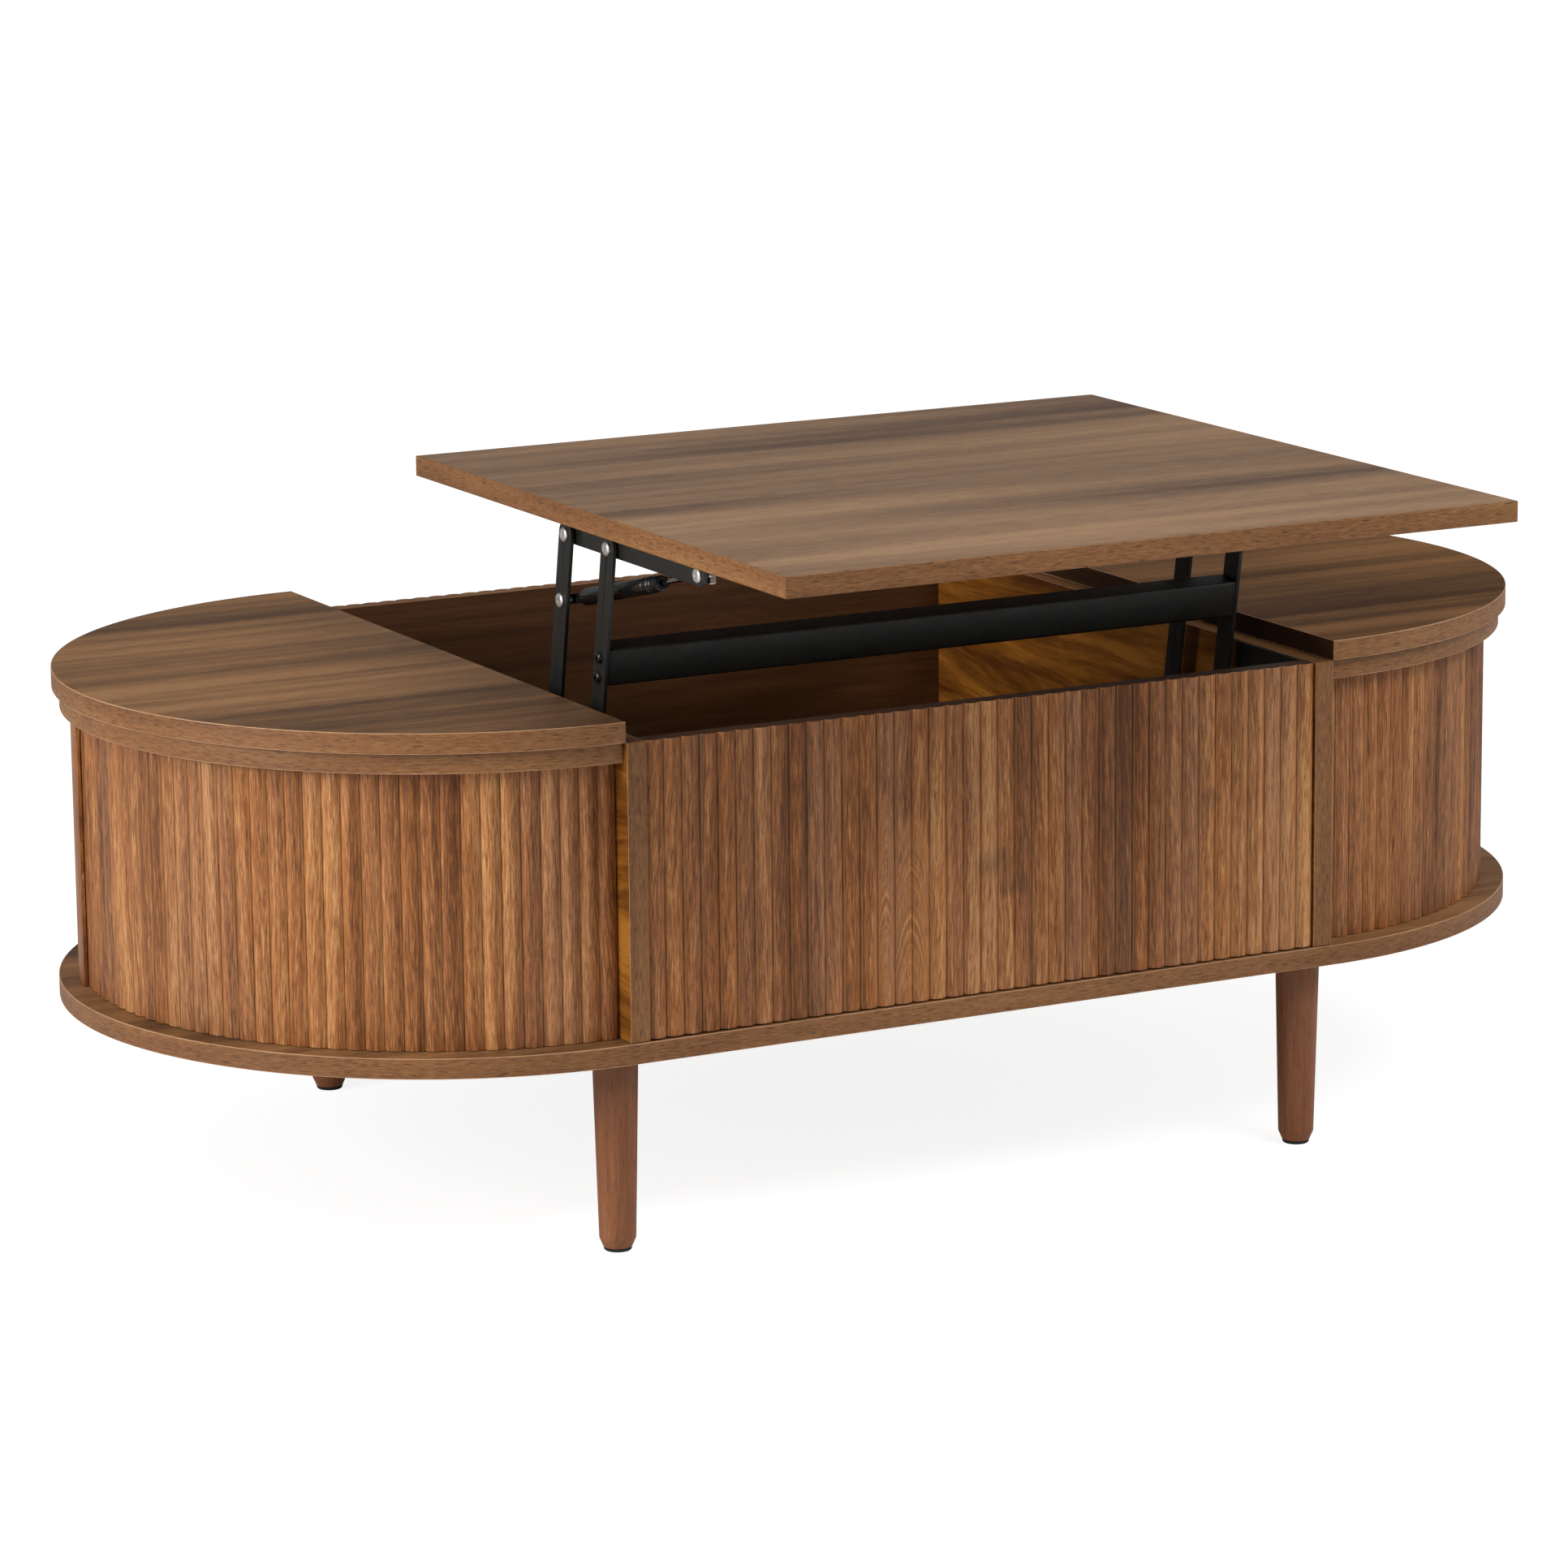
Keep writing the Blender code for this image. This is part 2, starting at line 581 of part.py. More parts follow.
def make_gas_spring(name, side, rear_joint):
    """A gas spring from the rear arm up to the top bracket's front rivet, local Z along its rod."""
    local_pin = (0.0, 0.0, GAS_PIN_ALONG_ARM)
    tilt = GAS_TILT - ARM_LEAN
    joint = empty("gas_joint_" + name, local_pin, rear_joint, (tilt, 0.0, 0.0))
    start, end = GAS_TUBE
    middle = side * GAS_MIDDLE
    tube_profile = ((0.0, start + 0.010), (GAS_BORE_RADIUS, start + 0.010), (GAS_BORE_RADIUS, end - 0.003),
                    (GAS_ROD_RADIUS + 0.0004, end - 0.003), (GAS_ROD_RADIUS + 0.0004, end), (0.0055, end),
                    (GAS_TUBE_RADIUS, end - 0.001), (GAS_TUBE_RADIUS, start), (0.0, start))
    tube = turned_object("gas_cylinder_" + name, tube_profile, joint, (middle, 0.0, 0.0), steps=ROUND_STEPS)
    eye_top = start + 0.006
    eye_outline = arc((0.0, 0.0), 0.0075, 180.0, 360.0, 8) + [(0.0045, eye_top), (-0.0045, eye_top)]
    low, high = sorted((middle - side * GAS_EYE_HALF_WIDTH, middle + side * GAS_EYE_HALF_WIDTH))
    mesh = slab_mesh("gas_eye_" + name, [eye_outline, ring((0.0, 0.0), PIN_HOLE)], low, high, along="X")
    boolean(tube, as_tool(place("gas_eye_" + name, mesh, joint, group=TOOLS)), "UNION")
    finish(tube, SATIN_BLACK, 0.3, 0.3, smooth=True)
    reach = GAS_REACH.length
    piston, piston_top = GAS_BORE_RADIUS - 0.0004, GAS_ROD_INSIDE + 0.006
    rod_profile = ((0.0, reach + 0.0055), (0.0045, reach + 0.0055), (0.0055, reach + 0.0040),
                   (0.0055, reach - 0.0055), (GAS_ROD_RADIUS, reach - 0.0085), (GAS_ROD_RADIUS, piston_top),
                   (piston, piston_top), (piston, GAS_ROD_INSIDE), (0.0, GAS_ROD_INSIDE))
    rod = turned_object("gas_rod_" + name, rod_profile, joint, (middle, 0.0, 0.0))
    stub_start = (middle, 0.0, reach)
    stub_end = (side * (TOP_BRACKET_FACES[0] - 0.0004), 0.0, reach)
    boolean(rod, rod_tool("gas_stub_" + name, joint, stub_start, stub_end, 0.0035), "UNION")
    return finish(rod, ZINC, 0.25, 1.0, smooth=True)


def make_mechanism(table):
    front_joint = empty("front_arm_joint", (0.0, *FRONT_PIVOT), table, (ARM_LEAN, 0.0, 0.0))
    top_joint = empty("top_joint", (0.0, *FRONT_TOP_PIVOT), table)
    bpy.context.view_layer.update()
    make_crossbar(front_joint)
    under = UNDER_TOP_Z + LIFT_UP - FRONT_TOP_PIVOT.y
    back = TOP_RADIUS - LIFT_FORWARD - FRONT_TOP_PIVOT.x
    half = STRAIGHT_HALF - LIFT_SIDE_GAP
    low, high = (-half, back - 2 * TOP_RADIUS, under), (half, back, under + BOARD)
    finish(place("lift_top", box_mesh("lift_top", low, high), top_joint), WALNUT_TOP, 0.45)
    upper = [(height, SCREW_HOLE) for height in screw_heights()]
    ends = [(0.0, PIN_HOLE), (ARM_LENGTH, PIN_HOLE)]
    to_rear = (ARM_SPACING, 0.0)
    to_gas = tuple(Vector(GAS_RIVET) - FRONT_TOP_PIVOT)
    for name, side in SIDES.items():
        rear_joint = empty("rear_arm_joint_" + name, (0.0, *REAR_PIVOT), table, (ARM_LEAN, 0.0, 0.0))
        make_arm("front_arm_" + name, side, front_joint, ends + upper)
        make_arm("rear_arm_" + name, side, rear_joint, ends + [(GAS_PIN_ALONG_ARM, PIN_HOLE)])
        make_side_bracket(name, side, table)
        make_top_bracket(name, side, top_joint)
        low_outer, low_inner = SIDE_BRACKET_FACES[1] + 0.0023, ARM_FACES[0] - 0.0021
        make_pin("lower_pin_front_" + name, side, table, FRONT_PIVOT, low_outer, low_inner)
        make_pin("lower_pin_rear_" + name, side, table, REAR_PIVOT, low_outer, low_inner)
        up_outer, up_inner = ARM_FACES[1] + 0.0023, TOP_BRACKET_FACES[0] - 0.0021
        make_pin("top_pin_front_" + name, side, top_joint, (0.0, 0.0), up_outer, up_inner)
        make_pin("top_pin_rear_" + name, side, top_joint, to_rear, up_outer, up_inner)
        rivet_outer, rivet_inner = TOP_BRACKET_FACES[1] + 0.0023, TOP_BRACKET_FACES[0] + 0.0003
        make_pin("gas_rivet_" + name, side, top_joint, to_gas, rivet_outer, rivet_inner, head_in=False)
        gas_inner = GAS_MIDDLE - GAS_EYE_HALF_WIDTH - 0.0021
        local_pin = (0.0, GAS_PIN_ALONG_ARM)
        make_pin("gas_pin_" + name, side, rear_joint, local_pin, up_outer, gas_inner)
        for label, height in zip(("lower", "upper"), screw_heights()):
            make_crossbar_screw(f"crossbar_screw_{label}_{name}", side, height, front_joint)
        make_gas_spring(name, side, rear_joint)


def make_table():
    table = empty("table_centre", (0.0, CENTRE_Y, 0.0))
    make_base(table)
    make_panel("front_panel", -1, table)
    make_panel("back_panel", 1, table)
    for name, side in SIDES.items():
        make_partition(name, side, table)
        make_end(name, side, table)
        make_door(name, side, table)
        for end_name, end in ENDS.items():
            make_leg(f"{end_name}_{name}", side * LEG_X, end * LEG_Y, table)
    make_mechanism(table)


make_table()
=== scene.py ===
"""Looks of the oval lift top coffee table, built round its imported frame."""
import math

import bmesh
import bpy
from mathutils import Matrix, Vector


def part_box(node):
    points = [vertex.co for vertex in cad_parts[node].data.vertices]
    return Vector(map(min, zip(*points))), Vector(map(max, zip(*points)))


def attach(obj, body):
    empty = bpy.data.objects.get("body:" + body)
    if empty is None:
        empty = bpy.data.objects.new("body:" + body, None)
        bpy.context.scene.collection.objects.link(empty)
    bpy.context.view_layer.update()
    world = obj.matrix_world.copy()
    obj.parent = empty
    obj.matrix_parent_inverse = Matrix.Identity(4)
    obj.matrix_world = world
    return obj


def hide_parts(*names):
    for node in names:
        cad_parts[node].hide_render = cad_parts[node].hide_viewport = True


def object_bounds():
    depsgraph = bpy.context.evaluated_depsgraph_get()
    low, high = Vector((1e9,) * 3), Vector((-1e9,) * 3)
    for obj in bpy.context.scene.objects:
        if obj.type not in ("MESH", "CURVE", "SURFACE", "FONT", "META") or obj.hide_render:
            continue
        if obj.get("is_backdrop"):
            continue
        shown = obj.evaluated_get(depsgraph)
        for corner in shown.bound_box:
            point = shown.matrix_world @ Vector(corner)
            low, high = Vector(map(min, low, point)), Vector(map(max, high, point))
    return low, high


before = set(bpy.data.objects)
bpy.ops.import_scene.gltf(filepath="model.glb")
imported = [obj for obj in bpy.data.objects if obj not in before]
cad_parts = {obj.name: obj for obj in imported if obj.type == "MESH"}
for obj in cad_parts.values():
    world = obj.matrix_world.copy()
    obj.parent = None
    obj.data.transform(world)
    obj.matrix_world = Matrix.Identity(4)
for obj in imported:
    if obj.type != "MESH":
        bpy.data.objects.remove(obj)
cad_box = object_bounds()

# Lengths are in metres, and are read from the frame, or repeated from the part where the frame doesn't
# show them
SIDES = {"left": -1, "right": 1}
ENDS = {"front": -1, "back": 1}
BASE_LOW, BASE_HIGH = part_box("base_board")
CENTRE_Y = (BASE_LOW.y + BASE_HIGH.y) / 2
BASE_RADIUS = (BASE_HIGH.y - BASE_LOW.y) / 2
STRAIGHT_HALF = BASE_HIGH.x - BASE_RADIUS
BOARD_EDGE = 0.0006
CRISP = math.radians(32)

# Reeds, doors and end walls. Radii are from an end's centre, angles from its front round to its back
PITCH = 0.01455
REED_DEPTH = 0.003
CREST_RADIUS = 0.2835
DOOR_REEDS = 36
DOOR_START = 0.1
SEAM = 101.6
WALL_END = 179.9
WALL_RADII = (0.284, 0.287)
GROOVE_RADII = (0.2769, 0.2806)
GROOVE_DEPTH = 0.004
OVERCUT = 0.002
SLAT_BACK = 0.2772
SLAT_GAP = 0.00022
TONGUE_RADII = (0.2776, 0.2799)
TONGUE_HEIGHT = 0.0038
TONGUE_SHARE = 0.86
BACKING_RADII = (0.2765, 0.2771)
BACKING_ANGLES = (0.6, 105.4)
BACKING_MARGIN = 0.012

# Lift mechanism. A place on an arm is its distance from the lower pivot
ARM_LEAN_DEGREES = 10.0
ARM_LEAN = math.radians(ARM_LEAN_DEGREES)
FRONT_PIVOT = Vector((-0.056787, 0.299120))
REAR_PIVOT = FRONT_PIVOT + Vector((0.070, 0.0))
ARM_LENGTH = 0.217179
ARM_RADIUS = 0.010
ARM_FACES = (0.2685, 0.2715)
PIN_HOLE = 0.0033
SCREW_HOLE = 0.0028
CROSSBAR_ALONG = 0.1254
CROSSBAR_RISE = 0.0022
CROSSBAR_REACH = 0.2662
CROSSBAR_TAB = 0.2682
SCREW_STEP = 0.0075
SCREW_TIP = 0.2632
GAS_RIVET = Vector((-0.2295, 0.514))
GAS_PIN_ALONG = 0.1658
GAS_MIDDLE = 0.2565
TUBE_START, TUBE_END = 0.012, 0.1415

# The outer and inner end of each rivet
LOWER_RIVET = (0.2783, 0.2664)
TOP_RIVET = (0.2738, 0.2621)
GAS_END_RIVET = (0.2690, 0.2645)
GAS_ARM_RIVET = (0.2738, 0.2509)

# Wood screws of the brackets
WALL_SCREW_FACE = 0.2817
WALL_SCREWS = ((-0.134, 0.296), (-0.110, 0.362), (-0.021, 0.306), (0.030, 0.306))
TOP_SCREW_X = 0.2475
TOP_SCREW_DEPTH = 0.0022
TOP_SCREW_SHARES = (0.06, 0.35, 0.65, 0.94)

CAMERA_PLACE = (-2.1886, -3.9975, 1.2814)
CAMERA_LENS = 139.66
CAMERA_SENSOR = 36.0
CAMERA_YAW, CAMERA_PITCH, CAMERA_ROLL = math.radians(-27.83), math.radians(12.256), math.radians(-0.541)

# Name, place, size and watts of each lamp
LAMPS = (("left_low", (-3.8, -0.4, 1.5), (1.6, 1.2), 84.0),
         ("left_high", (-2.6, -0.8, 3.0), (1.6, 1.2), 34.0),
         ("front_high", (0.9, -2.6, 3.1), (1.8, 1.2), 54.0),
         ("right", (3.6, -1.4, 1.8), (2.0, 1.6), 40.0))
LAMP_TARGET = (0.0, 0.0, 0.35)
# Distance from the middle and strength where the floor's glow starts and stops growing
FLOOR_GLOW = (1.2, 3.5, 0.87, 1.0)
SKY_STRENGTH = 0.18
FLOOR_SIZE = 40.0


# Outlines, in the plane of a board or plate

def arc(centre, radius, first, last, steps):
    points = []
    for index in range(steps + 1):
        angle = math.radians(first + (last - first) * index / steps)
        points.append((centre[0] + radius * math.cos(angle), centre[1] + radius * math.sin(angle)))
    return points


def ring(centre, radius, steps=32):
    return arc(centre, radius, 0.0, 360.0 * (steps - 1) / steps, steps - 1)


def rounded(points, radii, steps=6):
    """A closed outline with its corners rounded by a radius each."""
    outline = []
    count = len(points)
    for index, (point, radius) in enumerate(zip(points, radii)):
        here = Vector(point)
        to_last = (Vector(points[index - 1]) - here).normalized()
        to_next = (Vector(points[(index + 1) % count]) - here).normalized()
        if radius == 0.0:
            outline.append(tuple(here))
            continue
        reach = radius / math.tan(to_last.angle(to_next) / 2)
        centre = here + (to_last + to_next).normalized() * (radius / math.sin(to_last.angle(to_next) / 2))
        start, end = here + to_last * reach - centre, here + to_next * reach - centre
        turn = start.angle_signed(end)
        for step in range(steps + 1):
            share = -turn * step / steps
            x = start.x * math.cos(share) - start.y * math.sin(share)
            y = start.x * math.sin(share) + start.y * math.cos(share)
            outline.append((centre.x + x, centre.y + y))
    return outline


def oval(radius, steps=80):
    return (arc((-STRAIGHT_HALF, CENTRE_Y), radius, 90, 270, steps)
            + arc((STRAIGHT_HALF, CENTRE_Y), radius, -90, 90, steps))


def half_round(side, radius, edge, steps=80):
    first = -90 if side > 0 else 90
    return arc((side * edge, CENTRE_Y), radius, first, first + 180, steps)


def sector(side, inner, outer, first, last, steps):
    """Part of a ring round an end's centre, from the front round to the back, in degrees."""
    outside = arc((0, 0), outer, first - 90, last - 90, steps)
    inside = arc((0, 0), inner, last - 90, first - 90, steps)
    return [(side * (STRAIGHT_HALF + x), CENTRE_Y + y) for x, y in outside + inside]


# Meshes

def prism(outline, low, high, along="Z", holes=()):
    """A flat solid between two heights. Along Z its outline is x and y, and along X it is y and z."""
    shape = bmesh.new()
    loops = []
    for points in (outline, *holes):
        corners = [shape.verts.new((x, y, low)) for x, y in points]
        edges = [shape.edges.new((corners[i - 1], corners[i])) for i in range(len(corners))]
        loops.append((corners, edges))
    if holes:
        edges = [edge for _, found in loops for edge in found]
        bmesh.ops.triangle_fill(shape, edges=edges, use_beauty=True)
    else:
        shape.faces.new(loops[0][0])
    grown = bmesh.ops.extrude_face_region(shape, geom=list(shape.faces))
    moved = [item for item in grown["geom"] if isinstance(item, bmesh.types.BMVert)]
    bmesh.ops.translate(shape, vec=(0, 0, high - low), verts=moved)
    if along == "X":
        turn = Matrix(((0, 0, 1, 0), (1, 0, 0, 0), (0, 1, 0, 0), (0, 0, 0, 1)))
        bmesh.ops.transform(shape, matrix=turn, verts=shape.verts)
    bmesh.ops.recalc_face_normals(shape, faces=shape.faces)
    return shape


def block(low, high):
    shape = bmesh.new()
    bmesh.ops.create_cube(shape, size=1.0)
    low, high = Vector(low), Vector(high)
    bmesh.ops.scale(shape, vec=high - low, verts=shape.verts)
    bmesh.ops.translate(shape, vec=(low + high) / 2, verts=shape.verts)
    return shape


def lathe(profile, steps=48):
    """A solid turned about Z from a profile of radius and height, top to bottom, ending on the axis."""
    shape = bmesh.new()
    points = [shape.verts.new((radius, 0, height)) for radius, height in profile]
    edges = [shape.edges.new(pair) for pair in zip(points, points[1:])]
    bmesh.ops.spin(shape, geom=points + edges, cent=(0, 0, 0), axis=(0, 0, 1), angle=2 * math.pi,
                   steps=steps, use_merge=True)
    bmesh.ops.remove_doubles(shape, verts=shape.verts, dist=1e-6)
    bmesh.ops.recalc_face_normals(shape, faces=shape.faces)
    return shape


def raised(profile, height):
    """A lathe profile at another height."""
    return [(radius, height + rise) for radius, rise in profile]


def joined(shapes):
    whole = bmesh.new()
    for shape in shapes:
        mesh = bpy.data.meshes.new("part")
        shape.to_mesh(mesh)
        shape.free()
        whole.from_mesh(mesh)
        bpy.data.meshes.remove(mesh)
    return whole


def moved(shape, matrix):
    bmesh.ops.transform(shape, matrix=matrix, verts=shape.verts)
    return shape


def outboard(side, x, y, z):
    """Turns local Z to point away from the table's middle, and moves it there."""
    return Matrix.Translation((side * x, y, z)) @ Matrix.Rotation(side * math.pi / 2, 4, "Y")


def evaluated(obj):
    """Applies an object's modifiers."""
    graph = bpy.context.evaluated_depsgraph_get()
    mesh = bpy.data.meshes.new_from_object(obj.evaluated_get(graph), preserve_all_data_layers=True,
                                           depsgraph=graph)
    old = obj.data
    obj.modifiers.clear()
    obj.data = mesh
    bpy.data.meshes.remove(old)
    mesh.name = obj.name
    return obj


def solid(name, shape, edge=0.0, segments=3, limit=50, cuts=()):
    """An object from a bmesh, cut by other bmeshes, with its edges rounded and its flat faces flat."""
    mesh = bpy.data.meshes.new(name)
    shape.to_mesh(mesh)
    shape.free()
    obj = bpy.data.objects.new(name, mesh)
    bpy.context.scene.collection.objects.link(obj)
    for cut in cuts:
        tool = solid("cut", cut)
        step = obj.modifiers.new("Cut", "BOOLEAN")
        step.object = tool
        step.solver = "EXACT"
        evaluated(obj)
        bpy.data.objects.remove(tool)
    obj.data.shade_smooth()
    obj.data.set_sharp_from_angle(angle=CRISP)
    if edge:
        step = obj.modifiers.new("Edges", "BEVEL")
        step.width = edge
        step.segments = segments
        step.limit_method = "ANGLE"
        step.angle_limit = math.radians(limit)
        step.harden_normals = True
        step.use_clamp_overlap = True
        evaluated(obj)
    return obj


def set_grain(obj, rule, seed=0.0):
    """Stores, at each face's corners, the place in the wood: along the grain, across it and into it."""
    mesh = obj.data
    layer = mesh.attributes.new("grain", "FLOAT_VECTOR", "CORNER")
    shift = GRAIN_SHIFT * seed
    values = []
    for face in mesh.polygons:
        for corner in face.loop_indices:
            place = mesh.vertices[mesh.loops[corner].vertex_index].co
            values.extend(Vector(rule(place, face.normal)) + shift)
    layer.data.foreach_set("vector", values)
    return obj


def paint(obj, materials, choose=None):
    """Gives an object its materials, and each face the one that choose picks from its normal and centre."""
    for item in materials:
        obj.data.materials.append(item)
    if choose:
        for face in obj.data.polygons:
            face.material_index = choose(face.normal, face.center)
    return obj


def fit(obj, body, slot, *nodes):
    """Puts a piece on its body, in place of the frame's nodes."""
    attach(obj, body)
    if nodes:
        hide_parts(*nodes)
    return obj


# Where the grain runs

def along_x(place, normal):
    return (place.x, place.y, place.z)


def along_z(place, normal):
    return (place.z, place.x, place.y)


def board_grain(place, normal):
    """Grain along the table on a board's faces, and round it on its edge banding."""
    if abs(normal.z) > 0.7:
        return along_x(place, normal)
    if abs(normal.x) > 0.999:
        return (place.y, place.z, 0.1)
    angle = math.atan2(max(abs(place.x) - STRAIGHT_HALF, 0.0), CENTRE_Y - place.y)
    straight = min(abs(place.x), STRAIGHT_HALF)
    if place.y > CENTRE_Y:
        straight = 2 * STRAIGHT_HALF - straight
    return (math.copysign(straight + angle * BASE_RADIUS, place.x), place.z, 0.7)


def upright_grain(place, normal):
    """Grain along a partition's faces, and up its front and back edges."""
    if abs(normal.x) > 0.7:
        return (place.y, place.z, place.x)
    if abs(normal.z) > 0.7:
        return (place.y, place.x, 0.3)
    return (place.z, place.x, 0.9)


def round_wall(place):
    """The angle round an end, from its front."""
    return math.atan2(abs(place.x) - STRAIGHT_HALF, CENTRE_Y - place.y)


def wall_grain(place, normal):
    """Upright grain round an end wall, unrolled."""
    side = math.copysign(1.0, place.x)
    angle = round_wall(place)
    radius = math.hypot(abs(place.x) - STRAIGHT_HALF, place.y - CENTRE_Y)
    return (place.z, angle * CREST_RADIUS + side, radius * 0.3)


# Materials

def linear(value):
    """A linear share from an sRGB value out of 255."""
    value /= 255
    return value / 12.92 if value <= 0.04045 else ((value + 0.055) / 1.055) ** 2.4


def palette(*shades):
    """Colours from sRGB shades, which run from dark to light."""
    return [(*map(linear, shade), 1.0) for shade in shades]


OPEN_PORE = (0.030, 0.014, 0.007, 1.0)
BLOTCH = (0.045, 0.022, 0.012, 1.0)
# Painted shade for one flank of each reed and for the valleys between reeds
REED_FLANK_PAINTED_SHADE = (0.110, 0.050, 0.022, 1.0)
REED_VALLEY_PAINTED_SHADE = (0.050, 0.022, 0.010, 1.0)


class Nodes:
    """A material's nodes, built up by short calls."""

    def __init__(self, name):
        self.material = bpy.data.materials.new(name)
        self.material.use_nodes = True
        self.tree = self.material.node_tree
        self.shader = self.tree.nodes["Principled BSDF"]

    def add(self, kind, **settings):
        node = self.tree.nodes.new(kind)
        for name, value in settings.items():
            setattr(node, name, value)
        return node

    def put(self, node, socket, value):
        target = node.inputs[socket]
        if isinstance(value, bpy.types.NodeSocket):
            self.tree.links.new(value, target)
        else:
            target.default_value = value

    def math(self, operation, *values):
        node = self.add("ShaderNodeMath", operation=operation)
        for socket, value in enumerate(values):
            self.put(node, socket, value)
        return node.outputs[0]

    def plus(self, first, second):
        return self.math("ADD", first, second)

    def minus(self, first, second):
        return self.math("SUBTRACT", first, second)

    def times(self, first, second):
        return self.math("MULTIPLY", first, second)

    def split(self, vector):
        node = self.add("ShaderNodeSeparateXYZ")
        self.put(node, 0, vector)
        return node.outputs

    def attribute(self, name, output):
        return self.add("ShaderNodeAttribute", attribute_name=name).outputs[output]

    def scaled(self, vector, scale, shift=(0.0, 0.0, 0.0)):
        node = self.add("ShaderNodeVectorMath", operation="MULTIPLY_ADD")
        self.put(node, 0, vector)
        self.put(node, 1, scale)
        self.put(node, 2, shift)
        return node.outputs[0]

    def noise(self, vector, scale=1.0, detail=2.0, rough=0.5, distortion=0.0):
        node = self.add("ShaderNodeTexNoise")
        self.put(node, "Vector", vector)
        self.put(node, "Scale", scale)
        self.put(node, "Detail", detail)
        self.put(node, "Roughness", rough)
        self.put(node, "Distortion", distortion)
        return node.outputs["Fac"]

    def line_noise(self, place, detail=2.0, rough=0.6):
        node = self.add("ShaderNodeTexNoise", noise_dimensions="1D")
        self.put(node, "W", place)
        self.put(node, "Scale", 1.0)
        self.put(node, "Detail", detail)
        self.put(node, "Roughness", rough)
        return node.outputs["Fac"]

    def remap(self, value, low, high, new_low, new_high):
        node = self.add("ShaderNodeMapRange", clamp=True)
        for socket, item in enumerate((value, low, high, new_low, new_high)):
            self.put(node, socket, item)
        return node.outputs[0]

    def ramp(self, value, stops):
        node = self.add("ShaderNodeValToRGB")
        band = node.color_ramp
        while len(band.elements) < len(stops):
            band.elements.new(0.5)
        for element, (position, shade) in zip(band.elements, stops):
            element.position = position
            element.color = shade
        self.put(node, 0, value)
        return node.outputs[0]

    def mix(self, share, first, second, blend="MIX"):
        node = self.add("ShaderNodeMix", data_type="RGBA", blend_type=blend)
        self.put(node, 0, share)
        self.put(node, 6, first)
        self.put(node, 7, second)
        return node.outputs[2]

    def bump(self, height, strength, distance):
        node = self.add("ShaderNodeBump")
        self.put(node, "Strength", strength)
        self.put(node, "Distance", distance)
        self.put(node, "Height", height)
        self.put(self.shader, "Normal", node.outputs[0])


def spread(shades):
    """Stops of a colour ramp, evenly spread over its middle."""
    return [(index / (len(shades) - 1) * 0.8 + 0.1, shade) for index, shade in enumerate(shades)]


def with_arch(made, tone, fibres, along, across, arch):
    """Lays a cathedral figure over the tone."""
    tip_across, tip_along, half, reach = arch
    side = made.minus(across, tip_across)
    drop = made.minus(tip_along, along)
    curve = made.times(made.times(side, side), 0.1 / half ** 2)
    inside = made.minus(drop, curve)
    rings = made.line_noise(made.times(inside, 165.0), detail=2.0)
    rings = made.times(made.minus(rings, 0.5), 0.85)
    figure = made.plus(rings, made.plus(made.times(made.minus(fibres, 0.5), 0.5), 0.66))
    near = made.remap(inside, 0.0, 0.012, 0.0, 1.0)
    near = made.times(near, made.remap(drop, reach * 0.7, reach, 0.85, 0.0))
    near = made.times(near, made.remap(made.math("ABSOLUTE", side), half * 0.8, half * 1.4, 1.0, 0.0))
    return made.plus(made.times(tone, made.minus(1.0, near)), made.times(figure, near))


def with_blotch(made, body, streaks, along, across, blotch):
    """Lays a dark mineral blotch over the colour."""
    spot_across, spot_along, wide, tall = blotch
    side = made.times(made.minus(across, spot_across), 1.0 / wide)
    drop = made.times(made.minus(along, spot_along), 1.0 / tall)
    far = made.plus(made.times(side, side), made.times(drop, drop))
    far = made.plus(far, made.times(streaks, 0.9))
    return made.mix(made.remap(far, 0.45, 1.5, 0.42, 0.0), body, BLOTCH)


def with_reeds(made, body, streaks, shades, reeds):
    """Paints light across each reed's width: painted shade on one flank and a painted highlight on the
    other, a thin painted highlight line by one valley, and painted shade in the valleys.
    """
    reed = made.attribute("reed", "Fac")
    flank = made.plus(reed, made.times(made.minus(streaks, 0.5), 0.12))
    # Painted shade, strongest at the reed's -1 side
    body = made.mix(made.remap(flank, -0.95, 0.75, reeds * 0.5, 0.0), body, REED_FLANK_PAINTED_SHADE)
    # Painted highlight, strongest at the reed's +1 side
    body = made.mix(made.remap(flank, 0.20, 0.85, 0.0, reeds * 0.35), body, shades[-2])
    # A thin painted highlight line just inside the reed's -1 side, beside its valley
    line = made.times(made.remap(flank, -0.96, -0.90, 0.0, 1.0), made.remap(flank, -0.90, -0.74, 1.0, 0.0))
    body = made.mix(made.times(line, reeds), body, shades[-1])
    # Painted shade in the valleys between reeds
    return made.mix(made.remap(made.math("ABSOLUTE", reed), 0.88, 1.0, 0.0, reeds), body, REED_VALLEY_PAINTED_SHADE)


